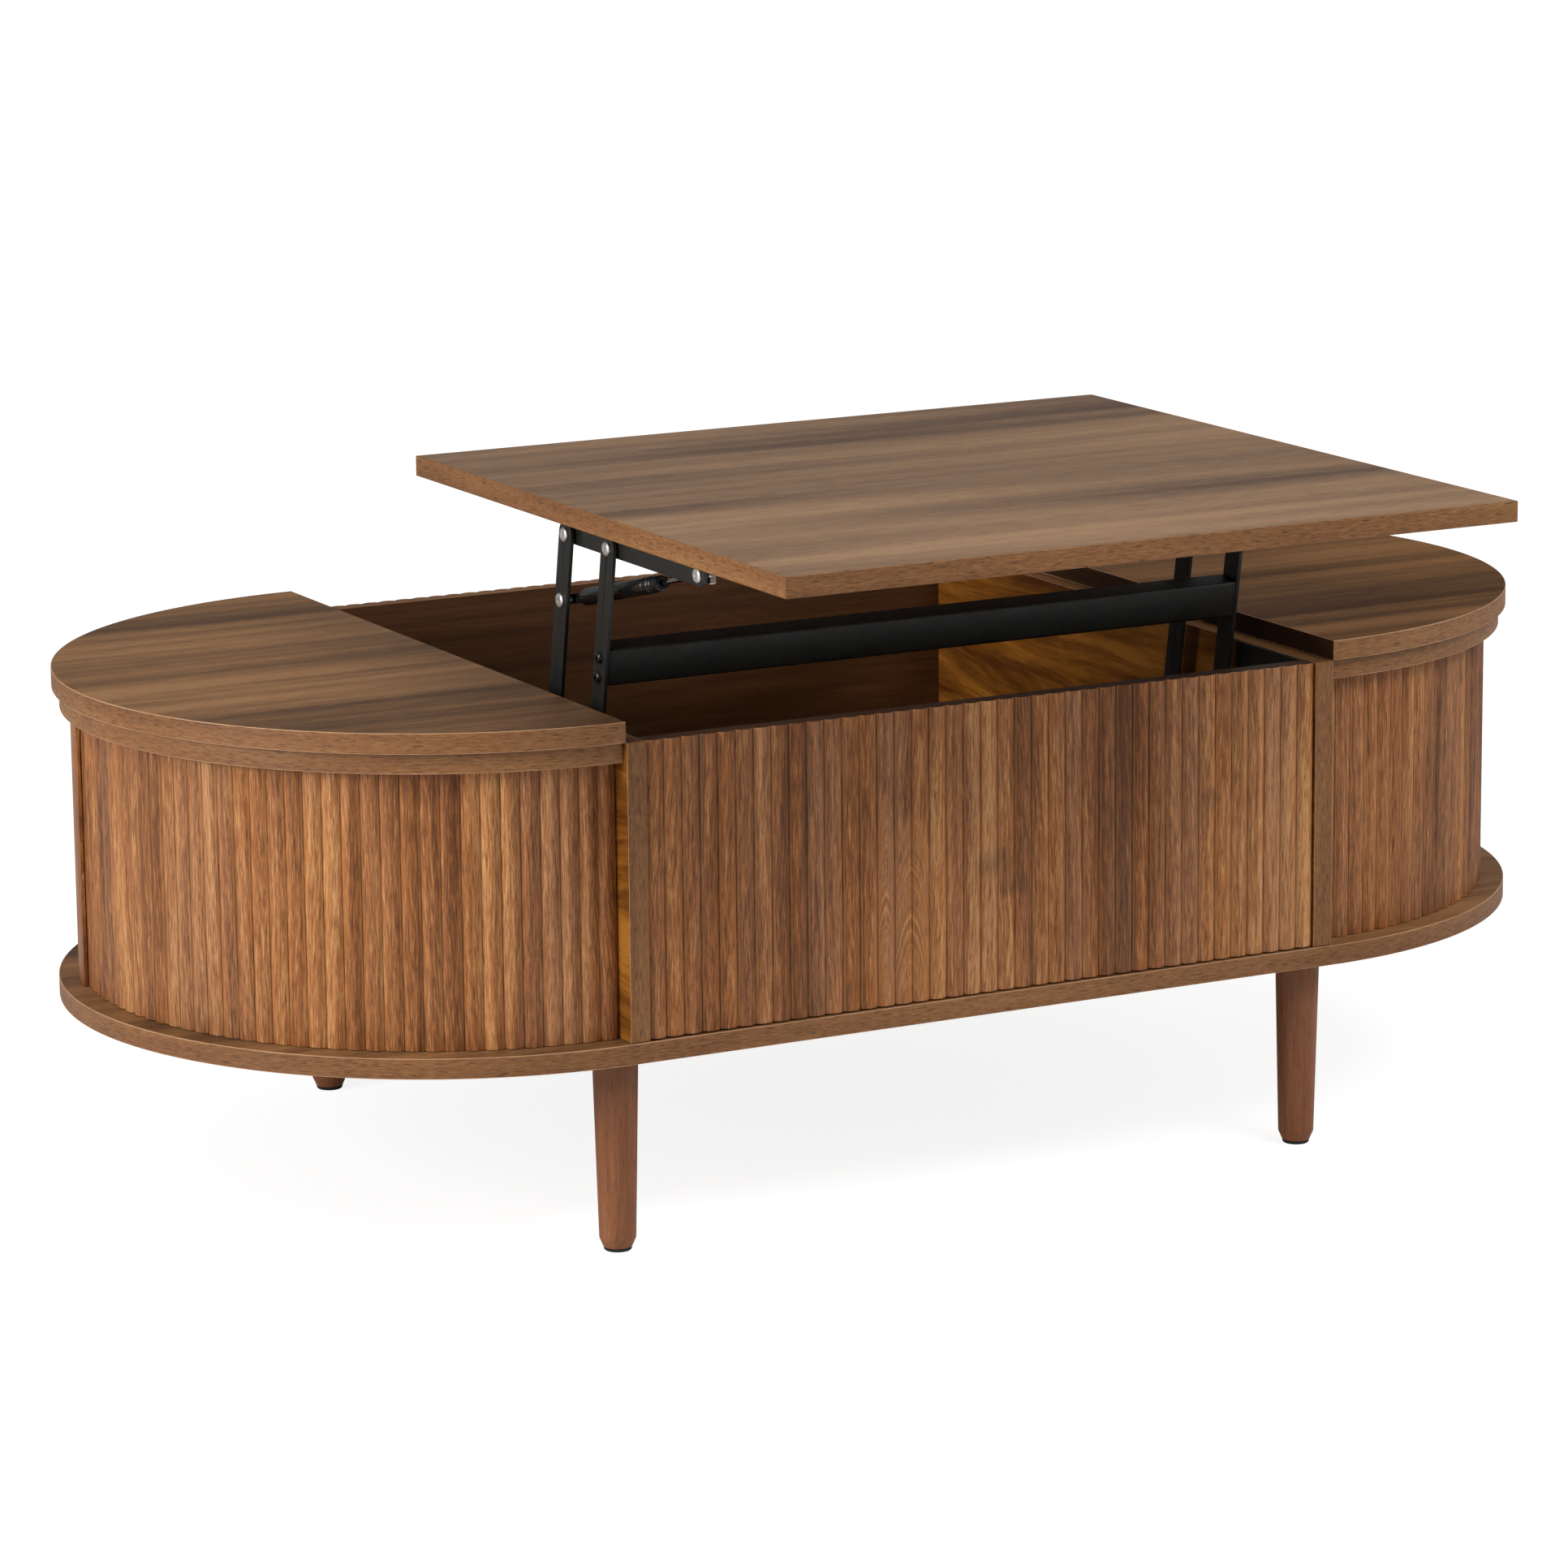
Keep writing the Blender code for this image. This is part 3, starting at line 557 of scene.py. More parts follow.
def wood(name, shades, second=None, band=(0.6, (0.8, 15.0, 15.0)), streak=(0.3, (2.5, 90.0, 90.0)),
         line=(0.2, (8.0, 420.0, 420.0)), fibre=0.12, pore=0.3, fleck=0.0, warp=0.03, hue=(1.1, 18.0, 18.0),
         rough=(0.40, 0.52), relief=0.2, gloss=0.35, arches=(), blotches=(), reeds=0.0):
    """Walnut: soft colour bands, streaks, growth lines and fibres along the grain, with open pores.

    shades run from dark to light. second is another set, which takes over in patches of scale hue. band,
    streak and line are each a weight and a scale. An arch is the across and along of its tip, its half width
    0.1 m below the tip and its depth. A blotch is its centre and radii. reeds is how strongly reeds are
    shaded.
    """
    made = Nodes(name)
    place = made.attribute("grain", "Vector")
    along, across, depth = made.split(place)
    flow = made.noise(made.scaled(place, (1.9, 9.0, 9.0), (5.0, 3.0, 1.0)), detail=1.5)
    wiggle = made.noise(made.scaled(place, (16.0, 70.0, 70.0)), detail=2.0)
    bend = made.plus(made.times(made.minus(flow, 0.5), warp), made.times(made.minus(wiggle, 0.5), 0.003))
    bent_across = made.plus(across, bend)
    joiner = made.add("ShaderNodeCombineXYZ")
    for socket, value in enumerate((along, bent_across, depth)):
        made.put(joiner, socket, value)
    bent = joiner.outputs[0]
    bands = made.noise(made.scaled(bent, band[1]), detail=2.0, rough=0.5)
    streaks = made.noise(made.scaled(bent, streak[1], (1.0, 7.0, 2.0)), detail=2.5, rough=0.6)
    lines = made.noise(made.scaled(bent, line[1], (4.0, 1.0, 8.0)), detail=2.5, rough=0.65)
    fibres = made.noise(made.scaled(bent, (34.0, 1500.0, 1500.0)), detail=2.0, rough=0.6)
    tone = 0.5
    for value, weight in ((bands, band[0]), (streaks, streak[0]), (lines, line[0]), (fibres, fibre)):
        tone = made.plus(tone, made.times(made.minus(value, 0.5), weight * 2.4))
    for arch in arches:
        tone = with_arch(made, tone, fibres, along, bent_across, arch)
    body = made.ramp(tone, spread(shades))
    if second:
        share = made.noise(made.scaled(bent, hue, (2.0, 6.0, 3.0)), detail=2.5, rough=0.6)
        body = made.mix(made.remap(share, 0.42, 0.62, 0.0, 0.85), body, made.ramp(tone, spread(second)))
    for blotch in blotches:
        body = with_blotch(made, body, streaks, along, across, blotch)
    if fleck:
        light = made.noise(made.scaled(bent, (70.0, 1000.0, 1000.0), (3.0, 8.0, 5.0)), detail=1.5)
        light = made.times(made.remap(light, 0.56, 0.72, 0.0, fleck), made.remap(tone, 0.3, 0.7, 0.2, 1.0))
        body = made.mix(light, body, shades[-1])
    pores = made.noise(made.scaled(bent, (90.0, 1300.0, 1300.0), (9.0, 4.0, 2.0)), detail=1.0)
    pores = made.remap(pores, 0.58, 0.72, 0.0, 1.0)
    body = made.mix(made.times(pores, pore), body, OPEN_PORE)
    if reeds:
        body = with_reeds(made, body, streaks, shades, reeds)
    made.put(made.shader, "Base Color", body)
    made.put(made.shader, "Roughness", made.remap(fibres, 0.3, 0.7, *rough))
    made.shader.inputs["Specular IOR Level"].default_value = gloss
    made.bump(made.minus(made.times(fibres, 0.5), pores), relief, 0.0003)
    return made.material


def coated_metal(name, shade, rough, metallic, peel=900.0, relief=0.06):
    """Powder coat or plating: a fine uneven skin, with slight smears in its gloss."""
    made = Nodes(name)
    place = made.add("ShaderNodeTexCoord").outputs["Object"]
    skin = made.noise(place, peel, detail=2.0)
    smear = made.noise(place, 45.0, detail=3.0, rough=0.6)
    dust = made.noise(place, 160.0, detail=4.0, rough=0.7)
    made.put(made.shader, "Roughness", made.remap(smear, 0.3, 0.7, rough - 0.07, rough + 0.08))
    dusty = tuple(min(1.0, part * 1.5 + 0.006) for part in shade[:3]) + (1.0,)
    made.put(made.shader, "Base Color", made.mix(made.remap(dust, 0.5, 0.75, 0.0, 0.5), shade, dusty))
    made.put(made.shader, "Metallic", metallic)
    made.bump(skin, relief, 0.0002)
    return made.material


def cloth(name, dark, light, thread=0.0012):
    """Plain woven backing cloth."""
    made = Nodes(name)
    place = made.attribute("grain", "Vector")
    warp, weft = made.split(place)[:2]
    waves = [made.math("SINE", made.times(across, 2 * math.pi / thread)) for across in (warp, weft)]
    weave = made.math("MULTIPLY_ADD", made.times(*waves), 0.5, 0.5)
    fuzz = made.noise(place, 700.0, detail=3.0)
    tone = made.math("MULTIPLY_ADD", weave, 0.5, made.times(fuzz, 0.5))
    made.put(made.shader, "Base Color", made.mix(tone, dark, light))
    made.shader.inputs["Roughness"].default_value = 0.9
    made.bump(weave, 0.5, 0.0002)
    return made.material


def laminate(name, shades, band, streak, gloss=0.35):
    """Printed walnut laminate of the tops."""
    return wood(name, shades, band=band, streak=streak, line=(0.26, (34.0, 290.0, 290.0)), fibre=0.16,
                warp=0.02, gloss=gloss)


# One laminate in three palettes: the lifted top's is lighter and greyer as painted sheen, the right end's is
# darker as painted shade, and the left end's, also on the base, lies between
TOP_SHADES = palette((100, 77, 60), (122, 95, 74), (143, 112, 86), (160, 125, 95), (178, 141, 106))
LEFT_SHADES = palette((90, 61, 36), (110, 77, 47), (131, 93, 58), (149, 107, 67), (168, 122, 80))
RIGHT_SHADES = palette((82, 52, 28), (99, 67, 38), (117, 81, 47), (134, 93, 55), (152, 107, 66))
LAMINATE = laminate("walnut_laminate", TOP_SHADES, (0.80, (0.9, 12.5, 12.5)), (0.28, (1.8, 46.0, 46.0)))
LEFT_LAMINATE = laminate("walnut_laminate_left", LEFT_SHADES, (0.85, (0.9, 15.0, 15.0)),
                         (0.36, (2.2, 60.0, 60.0)))
RIGHT_LAMINATE = laminate("walnut_laminate_right", RIGHT_SHADES, (0.95, (0.9, 16.0, 16.0)),
                          (0.38, (2.2, 60.0, 60.0)), gloss=0.06)
BAND_SHADES = palette((92, 56, 30), (120, 78, 44), (138, 93, 54), (152, 107, 65), (172, 127, 83))
BANDING = wood("walnut_edge_band", BAND_SHADES, band=(0.30, (3.0, 40.0, 40.0)),
               streak=(0.14, (18.0, 200.0, 200.0)), line=(0.42, (120.0, 900.0, 900.0)), fibre=0.20, pore=0.75,
               fleck=0.2, warp=0.004)
# A lighter tan for the boards' bevelled edges: a painted highlight line
ARRIS_HIGHLIGHT = wood("painted_highlight_edge_line", palette((150, 104, 68), (186, 142, 104), (208, 168, 130)),
             band=(0.4, (14.0, 14.0, 14.0)), streak=(0.3, (60.0, 60.0, 60.0)), pore=0.2, warp=0.0)
PANEL_LOW, PANEL_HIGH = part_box("front_panel")
PANEL_SEED = 6.0
GRAIN_SHIFT = Vector((3.17, 1.31, 2.23))


def on_panel(share_across, share_down):
    """A place on the front panel in its grain's terms: across and along."""
    across = PANEL_LOW.x + (PANEL_HIGH.x - PANEL_LOW.x) * share_across + GRAIN_SHIFT.y * PANEL_SEED
    along = PANEL_HIGH.z - (PANEL_HIGH.z - PANEL_LOW.z) * share_down + GRAIN_SHIFT.x * PANEL_SEED
    return (across, along)


WARM_SHADES = palette((98, 54, 20), (129, 75, 33), (158, 96, 48), (181, 120, 67), (210, 154, 98))
MAUVE_SHADES = palette((88, 60, 41), (116, 78, 53), (146, 96, 64), (170, 118, 80), (198, 144, 103))


# reeds sets the strength of the painted shade and highlight across each reed
def reeded_wood(name, hue, arches=(), blotches=(), reeds=0.35):
    """Walnut of the reeded panels, doors and end walls, warm with mauve patches."""
    return wood(name, WARM_SHADES, second=MAUVE_SHADES, band=(0.60, (1.3, 27.0, 27.0)),
                streak=(0.34, (7.0, 220.0, 220.0)), line=(0.52, (60.0, 800.0, 800.0)), fibre=0.30, pore=0.5,
                fleck=0.55, warp=0.035, hue=hue, relief=0.35, gloss=0.3, arches=arches, blotches=blotches,
                reeds=reeds)


REEDED = reeded_wood("walnut_reeded", (1.4, 24.0, 24.0),
                     arches=((*on_panel(0.348, 0.24), 0.011, 0.19), (*on_panel(0.385, 0.33), 0.020, 0.17)),
                     blotches=((*on_panel(0.51, 0.56), 0.020, 0.013), (*on_panel(0.535, 0.64), 0.014, 0.010),
                               (*on_panel(0.835, 0.43), 0.010, 0.012)))
PLAIN_REEDED = reeded_wood("walnut_reeded_plain", (1.0, 12.0, 12.0))
# The back panel's reeds take stronger painted shade and highlight
BACK_REEDED = reeded_wood("walnut_reeded_back", (1.0, 12.0, 12.0), reeds=0.85)
ORANGE_SHADES = palette((86, 44, 6), (114, 66, 14), (138, 84, 22), (164, 105, 36))
# Painted shade: a dark wood for the half-round boards' straight sides, which face the table's middle
BOARD_END_PAINTED_SHADE = wood("painted_shade_board_end", palette((44, 28, 16), (62, 41, 25), (80, 54, 34)),
                band=(0.4, (3.0, 40.0, 40.0)), line=(0.4, (30.0, 900.0, 900.0)), pore=0.6, warp=0.004,
                gloss=0.1)
ORANGE_INSIDE = wood("walnut_inside_upright", ORANGE_SHADES, band=(0.85, (4.0, 22.0, 22.0)),
                     streak=(0.50, (7.0, 90.0, 90.0)), line=(0.35, (30.0, 400.0, 400.0)), pore=0.35,
                     warp=0.12)
DARK_SHADES = palette((46, 26, 11), (67, 40, 19), (84, 52, 27), (102, 65, 36))
DARK_INSIDE = wood("walnut_inside_wall", DARK_SHADES, band=(0.6, (1.2, 14.0, 14.0)),
                   streak=(0.4, (3.0, 80.0, 80.0)), warp=0.05, pore=0.3)
LEG_SHADES = palette((112, 65, 38), (128, 78, 47), (142, 88, 54), (158, 102, 68))
LEG_WOOD = wood("stained_leg_wood", LEG_SHADES, band=(0.35, (4.0, 60.0, 60.0)),
                streak=(0.25, (10.0, 260.0, 260.0)), line=(0.25, (22.0, 700.0, 700.0)), fibre=0.25, pore=0.42,
                warp=0.01, rough=(0.34, 0.46))
BLACK = coated_metal("satin_black_coat", (0.0125, 0.0130, 0.0115, 1.0), 0.42, 0.0)
GLOSS_BLACK = coated_metal("gloss_black_coat", (0.008, 0.008, 0.008, 1.0), 0.18, 0.0, relief=0.02)
ZINC = coated_metal("bright_zinc", (0.80, 0.80, 0.80, 1.0), 0.34, 0.85, relief=0.03)
CHROME = coated_metal("polished_rod", (0.70, 0.70, 0.72, 1.0), 0.10, 1.0, relief=0.01)
FELT = coated_metal("black_glide", (0.012, 0.011, 0.011, 1.0), 0.85, 0.0, peel=1500.0, relief=0.5)
BACKING = cloth("tambour_backing_cloth", (0.020, 0.015, 0.012, 1.0), (0.085, 0.065, 0.050, 1.0))


# Case

def face_or_edge(normal, centre):
    """A board's faces, its edge banding, and the bevel between them, a painted highlight but on the lifted
    top.
    """
    return 0 if abs(normal.z) > 0.985 else 1 if abs(normal.z) < 0.17 else 2


def face_or_front(normal, centre):
    """A partition's faces, its edge banding, and the painted highlight line where the two meet."""
    return 0 if abs(normal.x) > 0.95 else 1 if abs(normal.x) < 0.3 else 2


def groove(side, margin, low, high):
    """The room for a door's tongue, cut from a board, over a half circle and a margin in degrees."""
    return prism(sector(side, *GROOVE_RADII, -margin, 180 + margin, 96), low, high)


def make_base():
    """The oval base board, with a groove for each door."""
    low, high = BASE_LOW.z, BASE_HIGH.z
    grooves = [groove(side, -0.06, high - GROOVE_DEPTH, high + OVERCUT) for side in SIDES.values()]
    base = solid("base_panel", prism(oval(BASE_RADIUS), low, high), BOARD_EDGE, cuts=grooves)
    set_grain(paint(base, [LEFT_LAMINATE, BANDING, ARRIS_HIGHLIGHT], face_or_edge), board_grain, 1.0)
    fit(base, "table", "walnut_laminate", "base_board")


def make_half_round(label, node, side, seed, grooved):
    """A half-round board of an end, banded all round but for its straight side, coloured dark as painted
    shade.
    """
    low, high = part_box(node)
    outline = half_round(side, (high.y - low.y) / 2, min(abs(low.x), abs(high.x)))
    cuts = [groove(side, 1, low.z - OVERCUT, low.z + GROOVE_DEPTH)] if grooved else []
    board = solid(label, prism(outline, low.z, high.z), BOARD_EDGE, cuts=cuts)

    def choose(normal, centre):
        return 3 if normal.x * side < -0.95 else face_or_edge(normal, centre)

    paint(board, [LEFT_LAMINATE if side < 0 else RIGHT_LAMINATE, BANDING, ARRIS_HIGHLIGHT, BOARD_END_PAINTED_SHADE], choose)
    fit(set_grain(board, board_grain, seed + side), "table", "walnut_laminate", node)


def make_boards():
    make_base()
    for name, side in SIDES.items():
        make_half_round("end_panel_" + name, "end_top_" + name, side, 2.0, False)
        make_half_round("lower_end_panel_" + name, "sub_top_" + name, side, 3.0, True)
        low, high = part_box("partition_" + name)
        wall = solid("upright_panel_" + name, block(low, high), 0.0005)
        paint(wall, [ORANGE_INSIDE, BANDING, ARRIS_HIGHLIGHT], face_or_front)
        fit(set_grain(wall, upright_grain, 5.0 + side), "table", "walnut_edge", "partition_" + name)
    low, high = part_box("lift_top")
    top = solid("lifting_panel", block(low, high), 0.0007)
    set_grain(paint(top, [LAMINATE, BANDING, BANDING], face_or_edge), board_grain, 1.0)
    fit(top, "lift_top", "walnut_laminate", "lift_top")


def reed_height(share):
    """A reed's height above its valleys: an arc across its width."""
    radius = ((PITCH / 2) ** 2 + REED_DEPTH ** 2) / (2 * REED_DEPTH)
    return math.sqrt(radius ** 2 - ((share - 0.5) * PITCH) ** 2) - (radius - REED_DEPTH)


def reed_share(step, steps):
    """Steps across a reed, closest together near its valleys."""
    return 0.5 - 0.5 * math.cos(math.pi * step / steps)


def set_reed(obj, offset):
    """Stores, at each face's corners, how far across its reed it is, from -1 to 1, for faces on the reeds."""
    mesh = obj.data
    layer = mesh.attributes.new("reed", "FLOAT", "CORNER")
    values = []
    for face in mesh.polygons:
        centre = offset(face.center) / PITCH
        middle = math.floor(centre) + 0.5
        for corner in face.loop_indices:
            place = mesh.vertices[mesh.loops[corner].vertex_index].co
            values.append(2 * (offset(place) / PITCH - middle))
    layer.data.foreach_set("value", values)
    return obj


def make_reeded_panel(name, end, steps=12):
    """The front or back panel, with a whole number of reeds across it."""
    low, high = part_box(name + "_panel")
    crest, flat = (low.y, high.y) if end < 0 else (high.y, low.y)
    count = round((high.x - low.x) / PITCH)
    pitch = (high.x - low.x) / count
    outline = []
    for index in range(count * steps + 1):
        share = reed_share(index % steps, steps)
        across = low.x + (index // steps + share) * pitch
        outline.append((across, crest + end * (reed_height(share) - REED_DEPTH)))
    outline += [(high.x, flat), (low.x, flat)]
    panel = solid(name + "_reeded_panel", prism(outline, low.z, high.z))

    def choose(normal, centre):
        if abs(normal.z) > 0.7:
            return 2 if end < 0 else 1
        return 2 if normal.y * end < -0.9 and abs(centre.y - flat) < 0.001 else 0

    def rule(place, normal):
        if abs(normal.z) > 0.7 or normal.y * end < -0.9:
            return along_x(place, normal)
        return along_z(place, normal)

    paint(panel, [REEDED if end < 0 else BACK_REEDED, BANDING, DARK_INSIDE], choose)
    set_reed(panel, lambda place: (place.x - low.x) * PITCH / pitch)
    fit(set_grain(panel, rule, PANEL_SEED + 1.0 + end), "table", "walnut_reeded", name + "_panel")


def make_end_wall(name, side):
    """The fixed smooth wall behind a door, its face outside and its plain side within."""
    low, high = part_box("curved_back_" + name)
    outline = sector(side, *WALL_RADII, SEAM, WALL_END, 72)
    wall = solid("smooth_back_" + name, prism(outline, low.z, high.z), 0.0004)

    def choose(normal, centre):
        out = Vector((centre.x - math.copysign(STRAIGHT_HALF, centre.x), centre.y - CENTRE_Y, 0)).normalized()
        return 1 if normal.dot(out) < -0.7 else 0

    paint(wall, [PLAIN_REEDED, ORANGE_INSIDE], choose)
    fit(set_grain(wall, wall_grain, 9.0), "table", "walnut_reeded", "curved_back_" + name)


def make_slat(index, side, low, high, steps=10):
    """A reeded slat, with a tongue above and below that runs in the grooves."""
    half = 0.5 * (PITCH - SLAT_GAP)
    outline = [(-half, SLAT_BACK), (half, SLAT_BACK)]
    for step in range(steps + 1):
        across = (0.5 - reed_share(step, steps)) * 2 * half
        outline.append((across, CREST_RADIUS - REED_DEPTH + reed_height(0.5 + across / PITCH)))
    wide = half * TONGUE_SHARE
    inner, outer = TONGUE_RADII
    tongue = [(-wide, inner), (wide, inner), (wide, outer), (-wide, outer)]
    low_z, high_z = low + TONGUE_HEIGHT, high - TONGUE_HEIGHT
    shapes = [prism(outline, low_z, high_z), prism(tongue, low, low_z), prism(tongue, high_z, high)]
    angle = math.radians(DOOR_START + (index + 0.5) * math.degrees(PITCH / CREST_RADIUS) - 90)
    out = Vector((side * math.cos(angle), math.sin(angle)))
    turn = Matrix(((-out.y, out.x, 0, side * STRAIGHT_HALF), (out.x, out.y, 0, CENTRE_Y),
                   (0, 0, 1, 0), (0, 0, 0, 1)))
    slat = moved(joined(shapes), turn)
    bmesh.ops.recalc_face_normals(slat, faces=slat.faces)
    return slat


def make_door(name, side):
    """A tambour door: reeded slats on a cloth backing."""
    low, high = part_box("tambour_door_" + name)
    body = "door_" + name
    slats = [make_slat(index, side, low.z, high.z) for index in range(DOOR_REEDS)]
    door = paint(solid("tambour_slats_" + name, joined(slats)), [PLAIN_REEDED])
    set_reed(door, lambda place: (round_wall(place) - math.radians(DOOR_START)) * CREST_RADIUS)
    fit(set_grain(door, wall_grain, 9.0), body, "walnut_reeded", "tambour_door_" + name)
    margin = TONGUE_HEIGHT + BACKING_MARGIN
    sheet = prism(sector(side, *BACKING_RADII, *BACKING_ANGLES, 80), low.z + margin, high.z - margin)
    back = paint(solid("tambour_backing_" + name, sheet), [BACKING])
    fit(set_grain(back, wall_grain), body, "walnut_reeded")


def make_leg(label):
    """A turned leg that tapers to a chamfered foot, on a black glide."""
    low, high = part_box("leg_" + label)
    centre = (low + high) / 2
    top = (high.x - low.x) / 2
    place = Matrix.Translation((centre.x, centre.y, 0))
    profile = [(0, high.z), (top - 0.0006, high.z), (top, high.z - 0.0006), (0.0137, 0.0106),
               (0.0135, 0.0094), (0.0131, 0.0086), (0.0113, 0.0044), (0.0107, low.z), (0, low.z)]
    leg = paint(solid("turned_leg_" + label, moved(lathe(profile, 64), place)), [LEG_WOOD])
    fit(set_grain(leg, along_z, 3.0 + centre.x + centre.y), "table", "leg_stain", "leg_" + label)
    profile = [(0, 0.0028), (0.0104, 0.0028), (0.0105, 0.0022), (0.0102, 0.0010), (0.0094, 0.0003),
               (0.0080, 0.0), (0, 0.0)]
    glide = solid("floor_glide_" + label, moved(lathe(profile, 48), place))
    fit(paint(glide, [FELT]), "table", "black_felt", "foot_glide_" + label)


# Lift mechanism

def on_arm(pivot, along, behind=0.0):
    """y and z of a place on a raised arm, from its lower pivot."""
    y = pivot.x - along * math.sin(ARM_LEAN) + behind * math.cos(ARM_LEAN)
    z = pivot.y + along * math.cos(ARM_LEAN) + behind * math.sin(ARM_LEAN)
    return (y, z)


def make_arm(label, body, node, side, pivot, holes):
    """A flat arm with round ends. A hole is its place along the arm and its radius."""
    outline = []
    for along, first in ((0.0, 180), (ARM_LENGTH, 0)):
        start = first + ARM_LEAN_DEGREES
        outline += arc(on_arm(pivot, along), ARM_RADIUS, start, start + 180, 20)
    low, high = sorted(side * face for face in ARM_FACES)
    rings = [ring(on_arm(pivot, along), radius) for along, radius in holes]
    arm = paint(solid(label, prism(outline, low, high, "X", rings), 0.0004, 2), [BLACK])
    fit(arm, body, "black_steel", node)


def make_rivet(label, body, node, side, yz, outer, inner, upset=True):
    """A rivet with a low domed head and a dimple. Its inner end is upset into a second head, or plain."""
    head = [(0, -0.0003), (0.0012, -0.0003), (0.0016, -0.0001), (0.0022, 0), (0.0042, -0.0001),
            (0.0049, -0.0004), (0.0054, -0.0010), (0.0055, -0.0019), (0.0030, -0.0020)]
    tail = [(0.0030, 0), (0, 0)]
    if upset:
        tail = [(0.0030, 0.0018), (0.0044, 0.0018), (0.0045, 0.0010), (0.0040, 0.0002), (0.0022, 0),
                (0.0018, 0.0006), (0, 0.0006)]
    shape = moved(lathe(raised(head, outer) + raised(tail, inner), 40), outboard(side, 0.0, *yz))
    fit(paint(solid(label, shape), [ZINC]), body, "zinc_steel", node)


def make_crossbar():
    """A folded channel with soft bends, open at the back, with a welded tab at each end."""
    half, front, back, sheet = 0.01425, -0.0097, 0.0103, 0.0015
    bend, inner_bend, corner = 0.0022, 0.0009, 0.0006

    def profile(points, radii):
        middle = CROSSBAR_ALONG + CROSSBAR_RISE
        return [on_arm(FRONT_PIVOT, middle + up, behind) for behind, up in rounded(points, radii)]

    rim = [(back, half), (front, half), (front, -half), (back, -half)]
    inside = [(back, sheet - half), (front + sheet, sheet - half), (front + sheet, half - sheet),
              (back, half - sheet)]
    outline = profile(rim + inside, (0.0, bend, bend, 0.0, 0.0, inner_bend, inner_bend, 0.0))
    shapes = [prism(outline, -CROSSBAR_REACH, CROSSBAR_REACH, "X")]
    outline = profile(rim, (corner, bend, bend, corner))
    for side in SIDES.values():
        low, high = sorted((side * CROSSBAR_REACH, side * CROSSBAR_TAB))
        shapes.append(prism(outline, low, high, "X"))
    bar = paint(solid("folded_crossbar", joined(shapes), 0.00025, 2), [BLACK])
    fit(bar, "front_arms", "black_steel", "crossbar")


def make_socket_screw(label, node, side, yz):
    """A button-head screw with a hexagon socket, through an arm into the crossbar."""
    outer = ARM_FACES[1] + 0.0003
    head = [(0, 0.0028), (0.0026, 0.0027), (0.0036, 0.0022), (0.0042, 0.0013), (0.0045, 0.0003), (0.0045, 0),
            (0.0025, 0)]
    socket = prism(ring((0, 0), 0.00175, 6), outer + 0.0010, outer + 0.004)
    shape = lathe(raised(head, outer) + [(0.0025, SCREW_TIP), (0, SCREW_TIP)], 36)
    screw = solid(label, shape, cuts=[socket])
    screw.data.transform(outboard(side, 0.0, *yz))
    fit(paint(screw, [GLOSS_BLACK]), "front_arms", "black_steel", node)


def cross_screw(label, body, place, turn):
    """A pan-head screw with a cross recess, its head towards local Z."""
    profile = [(0, 0.0020), (0.0014, 0.0019), (0.0026, 0.0014), (0.0033, 0.0006), (0.0034, 0.0), (0, 0.0)]
    arms = [block((-0.0018, -0.0004, 0.0009), (0.0018, 0.0004, 0.003)),
            block((-0.0004, -0.0018, 0.0009), (0.0004, 0.0018, 0.003))]
    screw = solid(label, lathe(profile, 28), cuts=arms)
    screw.data.transform(Matrix.Translation(place) @ turn)
    fit(paint(screw, [ZINC]), body, "zinc_steel")


def make_bracket(label, body, node):
    """A bracket from its frame solid, with flat faces merged and edges softened."""
    shape = bmesh.new()
    shape.from_mesh(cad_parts[node].data)
    bmesh.ops.remove_doubles(shape, verts=shape.verts, dist=2e-6)
    bmesh.ops.dissolve_limit(shape, angle_limit=math.radians(1), verts=shape.verts, edges=shape.edges)
    bmesh.ops.recalc_face_normals(shape, faces=shape.faces)
    fit(paint(solid(label, shape, 0.0004, 2), [BLACK]), body, "black_steel", node)


def make_brackets():
    down = Matrix.Rotation(math.pi, 4, "X")
    for name, side in SIDES.items():
        make_bracket("rail_bracket_" + name, "table", "side_bracket_" + name)
        make_bracket("angle_bracket_" + name, "lift_top", "top_bracket_" + name)
        inward = Matrix.Rotation(-side * math.pi / 2, 4, "Y")
        for index, yz in enumerate(WALL_SCREWS):
            cross_screw(f"wall_screw_{index}_{name}", "table", (side * WALL_SCREW_FACE, *yz), inward)
        low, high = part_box("top_bracket_" + name)
        for index, share in enumerate(TOP_SCREW_SHARES):
            place = (side * TOP_SCREW_X, low.y + (high.y - low.y) * share, high.z - TOP_SCREW_DEPTH)
            cross_screw(f"top_screw_{index}_{name}", "lift_top", place, down)


def make_gas_tube(name, turn):
    """A gas spring's tube, crimped at its open end, with an eye on its other end."""
    crimp = [(0, -0.0030), (0.0027, -0.0030), (0.0027, 0), (0.0050, 0), (0.0058, -0.0006), (0.0060, -0.0016),
             (0.0060, -0.0100), (0.0064, -0.0105), (0.0064, -0.0125), (0.0059, -0.0130), (0.0059, -0.0145),
             (0.0065, -0.0152), (0.0065, -0.0215), (0.0062, -0.0219), (0.0062, -0.0232), (0.0065, -0.0236)]
    foot = [(0.0065, 0.0030), (0.0058, 0.0010), (0.0045, 0), (0.0036, -0.0010), (0.0036, -0.0040),
            (0, -0.0040)]
    barrel = lathe(raised(crimp, TUBE_END) + raised(foot, TUBE_START), 40)
    eye = prism(ring((0, 0), 0.0075, 36), -0.0035, 0.0035, "X", [ring((0, 0), PIN_HOLE, 24)])
    tube = solid("gas_tube_" + name, joined([barrel, eye]))
    tube.data.transform(turn)
    fit(paint(tube, [GLOSS_BLACK]), "gas_cylinder_" + name, "black_steel", "gas_cylinder_" + name)


